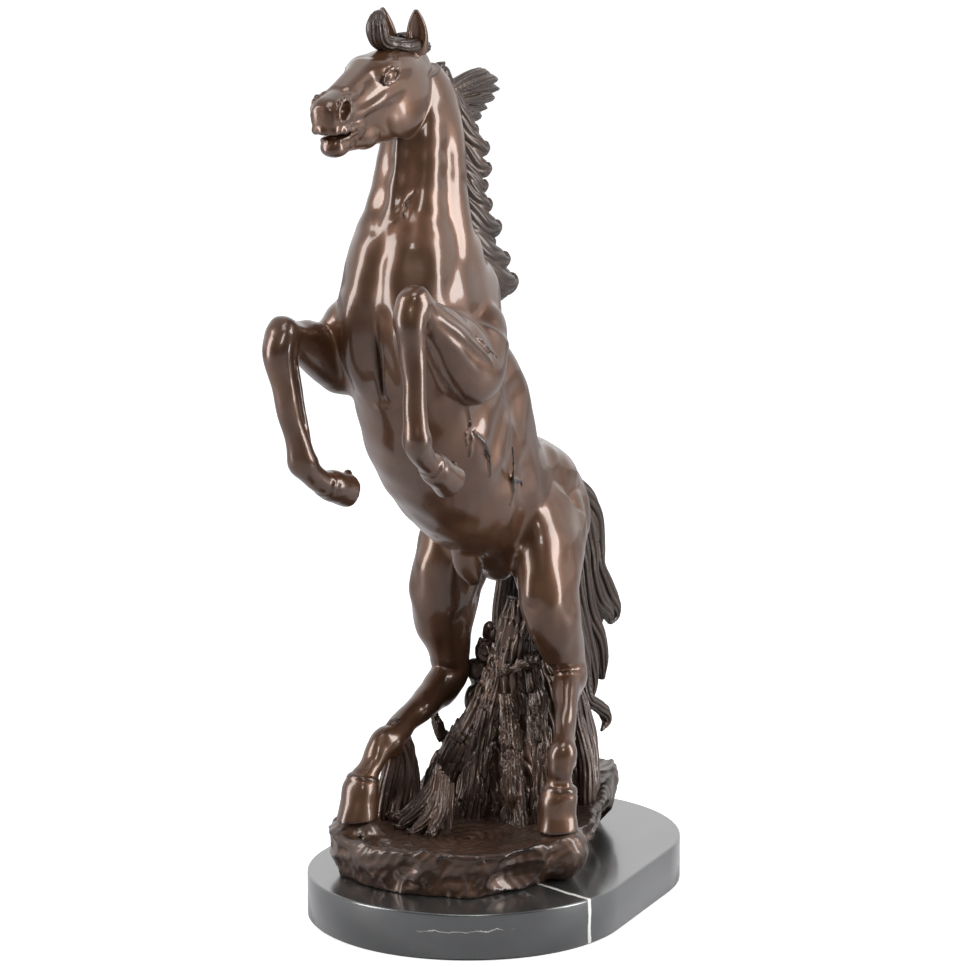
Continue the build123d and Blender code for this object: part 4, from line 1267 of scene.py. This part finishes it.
def maths(tree, operation, a, b=0.0, c=0.0):
    """One arithmetic node; every argument is a number or another node's output."""
    node = tree.nodes.new("ShaderNodeMath")
    node.operation = operation
    for socket, value in zip(node.inputs, (a, b, c)):
        socket_value(tree, socket, value)
    return node.outputs["Value"]


def between(tree, value, low, high):
    """0 below low, 1 above high, and straight between them."""
    ramp = tree.nodes.new("ShaderNodeMapRange")
    socket_value(tree, ramp.inputs["Value"], value)
    ramp.inputs["From Min"].default_value = low
    ramp.inputs["From Max"].default_value = high
    return ramp.outputs["Result"]


def bronze(name, deep, middle, bright, gold, hollow, rub_start, rub_end, roughness, coat, grain_size):
    """Brown patina under lacquer: dark in hollows, warm on open faces, rubbed to gold on ridges.

    hollow, rub_start and rub_end are heights in metres of the vertex attribute "ridge".
    """
    material, tree, shader = node_material(name)
    ridge = tree.nodes.new("ShaderNodeAttribute")
    ridge.attribute_name = "ridge"
    height = ridge.outputs["Fac"]
    blotch = noise_node(tree, 26.0)
    tone = ramp_node(tree, blotch.outputs["Fac"], [(0.36, middle), (0.66, bright)])
    body = mix_colour(tree, between(tree, height, -hollow, hollow * 0.2), deep, tone.outputs["Color"])
    scratch = noise_node(tree, 210.0, 5.0)
    patchy = maths(tree, "MULTIPLY", between(tree, height, rub_start, rub_end),
                   between(tree, scratch.outputs["Fac"], 0.32, 0.62))
    colour = mix_colour(tree, patchy, body, gold)
    link(tree, colour, shader.inputs["Base Color"])
    shader.inputs["Metallic"].default_value = 0.5
    rough = noise_node(tree, 40.0, 5.0)
    link(tree, maths(tree, "MULTIPLY_ADD", rough.outputs["Fac"], 0.22, roughness - 0.11),
         shader.inputs["Roughness"])
    shader.inputs["Coat Weight"].default_value = coat
    shader.inputs["Coat IOR"].default_value = 1.5
    shader.inputs["Coat Roughness"].default_value = 0.1
    grain = noise_node(tree, grain_size, 3.0)
    bump = tree.nodes.new("ShaderNodeBump")
    bump.inputs["Strength"].default_value = 0.1
    bump.inputs["Distance"].default_value = 0.0003
    link(tree, grain.outputs["Fac"], bump.inputs["Height"])
    link(tree, bump.outputs["Normal"], shader.inputs["Normal"])
    return material


VEIN_START = vec(0.0597, -0.0627)       # two spots that the broad white vein passes, in the row's metres
VEIN_END = vec(0.0978, -0.0789)
VEIN_HALF = 0.0017


def marble():
    """Black marble with one broad white vein right through it and fine broken ones in front."""
    material, tree, shader = node_material("black_marble")
    cloud = noise_node(tree, 16.0, 6.0)
    base = ramp_node(tree, cloud.outputs["Fac"],
                     [(0.35, (0.010, 0.011, 0.011)), (0.75, (0.034, 0.036, 0.036))])
    coordinates = tree.nodes.new("ShaderNodeTexCoord")
    split = tree.nodes.new("ShaderNodeSeparateXYZ")
    link(tree, coordinates.outputs["Object"], split.inputs["Vector"])
    x, y, z = (split.outputs[axis] for axis in "XYZ")
    way = unit(VEIN_END - VEIN_START)
    across = vec(-way[1], way[0])
    wander = maths(tree, "MULTIPLY_ADD", noise_node(tree, 60.0).outputs["Fac"], 0.004,
                   -0.002 - across @ VEIN_START)
    offset = maths(tree, "ADD",
                   maths(tree, "MULTIPLY_ADD", x, across[0], maths(tree, "MULTIPLY", y, across[1])),
                   wander)
    broad = between(tree, maths(tree, "ABSOLUTE", offset), VEIN_HALF, VEIN_HALF * 0.55)
    broad = maths(tree, "MULTIPLY", broad, between(tree, x, 0.0, 0.01))
    fine_wander = maths(tree, "MULTIPLY_ADD", noise_node(tree, 45.0, 6.0).outputs["Fac"], 0.014, -0.0265)
    fine = between(tree, maths(tree, "ABSOLUTE", maths(tree, "ADD", z, fine_wander)), 0.00035, 0.0001)
    broken = between(tree, noise_node(tree, 38.0, 2.0).outputs["Fac"], 0.48, 0.58)
    ahead = maths(tree, "MULTIPLY", between(tree, y, -0.115, -0.125), between(tree, x, 0.0, 0.01))
    fine = maths(tree, "MULTIPLY", maths(tree, "MULTIPLY", fine, broken), ahead)
    veins = maths(tree, "MAXIMUM", broad, maths(tree, "MULTIPLY", fine, 0.55))
    link(tree, mix_colour(tree, veins, base.outputs["Color"], (0.72, 0.72, 0.68)),
         shader.inputs["Base Color"])
    shader.inputs["Roughness"].default_value = 0.3
    shader.inputs["Coat Weight"].default_value = 1.0
    shader.inputs["Coat IOR"].default_value = 1.7
    shader.inputs["Coat Roughness"].default_value = 0.14
    return material


def plain(name, colour, roughness, metallic=0.0):
    material, tree, shader = node_material(name)
    grain = noise_node(tree, 300.0)
    low = tuple(c * 0.85 for c in colour)
    base = ramp_node(tree, grain.outputs["Fac"], [(0.3, low), (0.7, colour)])
    link(tree, base.outputs["Color"], shader.inputs["Base Color"])
    shader.inputs["Roughness"].default_value = roughness
    shader.inputs["Metallic"].default_value = metallic
    return material


GOLD = (0.62, 0.43, 0.2)
horse_bronze = bronze("bronze_horse", (0.018, 0.008, 0.004), (0.080, 0.035, 0.0165), (0.126, 0.056, 0.026),
                      GOLD,
                      0.00009, 0.00014, 0.0005, 0.37, 0.65, 700.0)
hair_bronze = bronze("bronze_hair", (0.007, 0.0045, 0.0035), (0.038, 0.022, 0.0145), (0.066, 0.038, 0.025),
                     GOLD,
                     0.00010, 0.00005, 0.00024, 0.42, 0.3, 900.0)
ground_bronze = bronze("bronze_ground", (0.008, 0.005, 0.004), (0.050, 0.026, 0.016), (0.095, 0.048, 0.028),
                       GOLD,
                       0.00010, 0.00005, 0.00024, 0.40, 0.4, 900.0)
marble_material = marble()
brass = plain("pin_brass", (0.62, 0.45, 0.22), 0.35, 1.0)
felt = plain("green_felt", (0.02, 0.05, 0.03), 0.95)
steel = plain("zinc_steel", (0.6, 0.6, 0.62), 0.35, 1.0)
NODE_MATERIALS = {"felt_sheet": felt, "mounting_studs": steel, "stud_washers": steel, "stud_nuts": steel,
                  "hoof_pins": brass, "stump_dowels": brass, "leg_dowels": brass, "neck_dowels": brass,
                  "head_dowels": brass, "tail_dowel": brass}
for node, material in NODE_MATERIALS.items():
    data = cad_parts[node].data
    data.materials.clear()
    data.materials.append(material)

# ------------------------------------------------------------------ meshes
VOXEL = 0.95
HEAD_VOXEL = 0.52
HAIR_VOXEL = 0.62
GROUND_VOXEL = 0.9
HORSE_LOW = vec(-110, -80, 50)
HORSE_HIGH = vec(195, 85, 600)
HEAD_LOW = vec(35, -40, 490)
meshes = mesh_pieces(castings(CASTINGS[:2] + CASTINGS[3:]), CASTINGS[:2] + CASTINGS[3:], HORSE_LOW,
                     HORSE_HIGH, VOXEL)
meshes.update(mesh_pieces(castings(["head_casting"]), ["head_casting"], HEAD_LOW, HORSE_HIGH, HEAD_VOXEL))
for name, (points, faces) in meshes.items():
    piece = make_object(name + "_bronze", to_row(points), faces, horse_bronze,
                        relief(points, faces) * MM)
    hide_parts(name)


def sculpt(node, field, material, voxel):
    """Meshes one field and puts it in the place of one CAD node."""
    low, high = field.bounds()
    border = vec(2, 2, 2) * voxel
    mesh = mesh_pieces(lambda points, margin: [field.evaluate(points, margin)], [node],
                       low - border, high + border, voxel)
    points, faces = mesh[node]
    piece = make_object(node + "_bronze", to_row(points), faces, material, relief(points, faces) * MM)
    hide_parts(node)


sculpt("mane", mane_field(), hair_bronze, HAIR_VOXEL)
sculpt("forelock", forelock_field(), hair_bronze, HAIR_VOXEL)
sculpt("tail", tail_field(), hair_bronze, HAIR_VOXEL)
sculpt("tree_stump", stump_field(), ground_bronze, HAIR_VOXEL)
sculpt("grass_tufts", grass_field(), ground_bronze, HAIR_VOXEL)
sculpt("ground_casting", ground_field(), ground_bronze, GROUND_VOXEL)
slab_points, slab_faces = plinth_mesh()
slab_mesh = bpy.data.meshes.new("plinth_marble")
slab_mesh.from_pydata(slab_points, [], slab_faces)
slab_mesh.polygons.foreach_set("use_smooth", [len(face) == 4 for face in slab_faces])
slab_mesh.materials.append(marble_material)
plinth_piece = bpy.data.objects.new("plinth_marble", slab_mesh)
bpy.context.collection.objects.link(plinth_piece)
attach(plinth_piece, "root")
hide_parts("plinth")


# ------------------------------------------------------------------ floor, light and camera
def look_at(obj, target):
    """Turns a camera or a light towards a point."""
    direction = np.array(target) - np.array(obj.location)
    direction /= np.linalg.norm(direction)
    obj.rotation_euler = Vector(direction).to_track_quat("-Z", "Y").to_euler()


VIEW_AZIMUTH = math.radians(23.2)
VIEW_PITCH = math.radians(11.88)
VIEW_DISTANCE = 3.0
VIEW_CENTRE = np.array([-0.00718, -0.00308, 0.26902])
CAMERA_LENS = 177.4
SENSOR = 36.0
LIGHT_CENTRE = np.array([0, 0, 0.3])
WORLD_STRENGTH = 1.05
FLOOR_HALF = 6.0
PAPER_GLOW = 0.75

view_back = np.array([math.sin(VIEW_AZIMUTH) * math.cos(VIEW_PITCH),
                      -math.cos(VIEW_AZIMUTH) * math.cos(VIEW_PITCH), math.sin(VIEW_PITCH)])
camera_data = bpy.data.cameras.new("camera")
camera_data.lens = CAMERA_LENS
camera_data.sensor_width = SENSOR
camera = bpy.data.objects.new("camera", camera_data)
camera.location = VIEW_CENTRE + view_back * VIEW_DISTANCE
bpy.context.collection.objects.link(camera)
look_at(camera, VIEW_CENTRE)
bpy.context.scene.camera = camera


def area_light(name, azimuth, elevation, distance, width, height, power, colour=(1, 1, 1)):
    """A soft box at an angle around the statue, measured like the camera's."""
    a, e = math.radians(azimuth), math.radians(elevation)
    centre = LIGHT_CENTRE
    data = bpy.data.lights.new(name, "AREA")
    data.shape = "RECTANGLE"
    data.size = width
    data.size_y = height
    data.energy = power
    data.color = colour
    light = bpy.data.objects.new(name, data)
    light.location = centre + distance * np.array([math.sin(a) * math.cos(e), -math.cos(a) * math.cos(e),
                                                   math.sin(e)])
    bpy.context.collection.objects.link(light)
    look_at(light, centre)


area_light("left_box", -50, 15, 1.5, 0.5, 1.5, 26)
area_light("right_box", 100, 15, 1.5, 0.5, 1.5, 30)
area_light("top_box", 20, 70, 1.7, 0.8, 0.8, 12)
area_light("front_box", 30, 35, 2.4, 0.5, 0.5, 10)

world = bpy.data.worlds.new("studio")
world.use_nodes = True
studio = world.node_tree
sky = studio.nodes.new("ShaderNodeTexCoord")
towards = studio.nodes.new("ShaderNodeVectorMath")
towards.operation = "DOT_PRODUCT"
towards.inputs[1].default_value = tuple(view_back)
link(studio, sky.outputs["Generated"], towards.inputs[0])
# dim behind the camera, white behind the statue
shade = ramp_node(studio, between(studio, towards.outputs["Value"], -1.0, 1.0), [
    (0.3, (1.0, 1.0, 1.0)), (0.5, (0.42, 0.42, 0.48)), (0.7, (0.15, 0.15, 0.16)), (0.9, (0.12, 0.12, 0.12))])
seen = studio.nodes.new("ShaderNodeLightPath")
background = studio.nodes["Background"]
link(studio, mix_colour(studio, seen.outputs["Is Camera Ray"], shade.outputs["Color"], (1.0, 1.0, 1.0)),
     background.inputs["Color"])
background.inputs["Strength"].default_value = WORLD_STRENGTH
bpy.context.scene.world = world
bpy.context.scene.view_settings.view_transform = "Standard"

floor_mesh = bpy.data.meshes.new("floor")
half = FLOOR_HALF
floor_mesh.from_pydata([(-half, -half, 0), (half, -half, 0), (half, half, 0), (-half, half, 0)], [],
                       [(0, 1, 2, 3)])
floor = bpy.data.objects.new("floor", floor_mesh)
bpy.context.collection.objects.link(floor)
pale = plain("pale_floor", (0.55, 0.55, 0.56), 0.7)
paper = pale.node_tree
glow = paper.nodes["Principled BSDF"].inputs
glow["Emission Color"].default_value = (1, 1, 1, 1)
# the camera sees white paper, which throws less light up at the statue
link(paper, maths(paper, "MULTIPLY", paper.nodes.new("ShaderNodeLightPath").outputs["Is Camera Ray"],
                  PAPER_GLOW),
     glow["Emission Strength"])
floor_mesh.materials.append(pale)
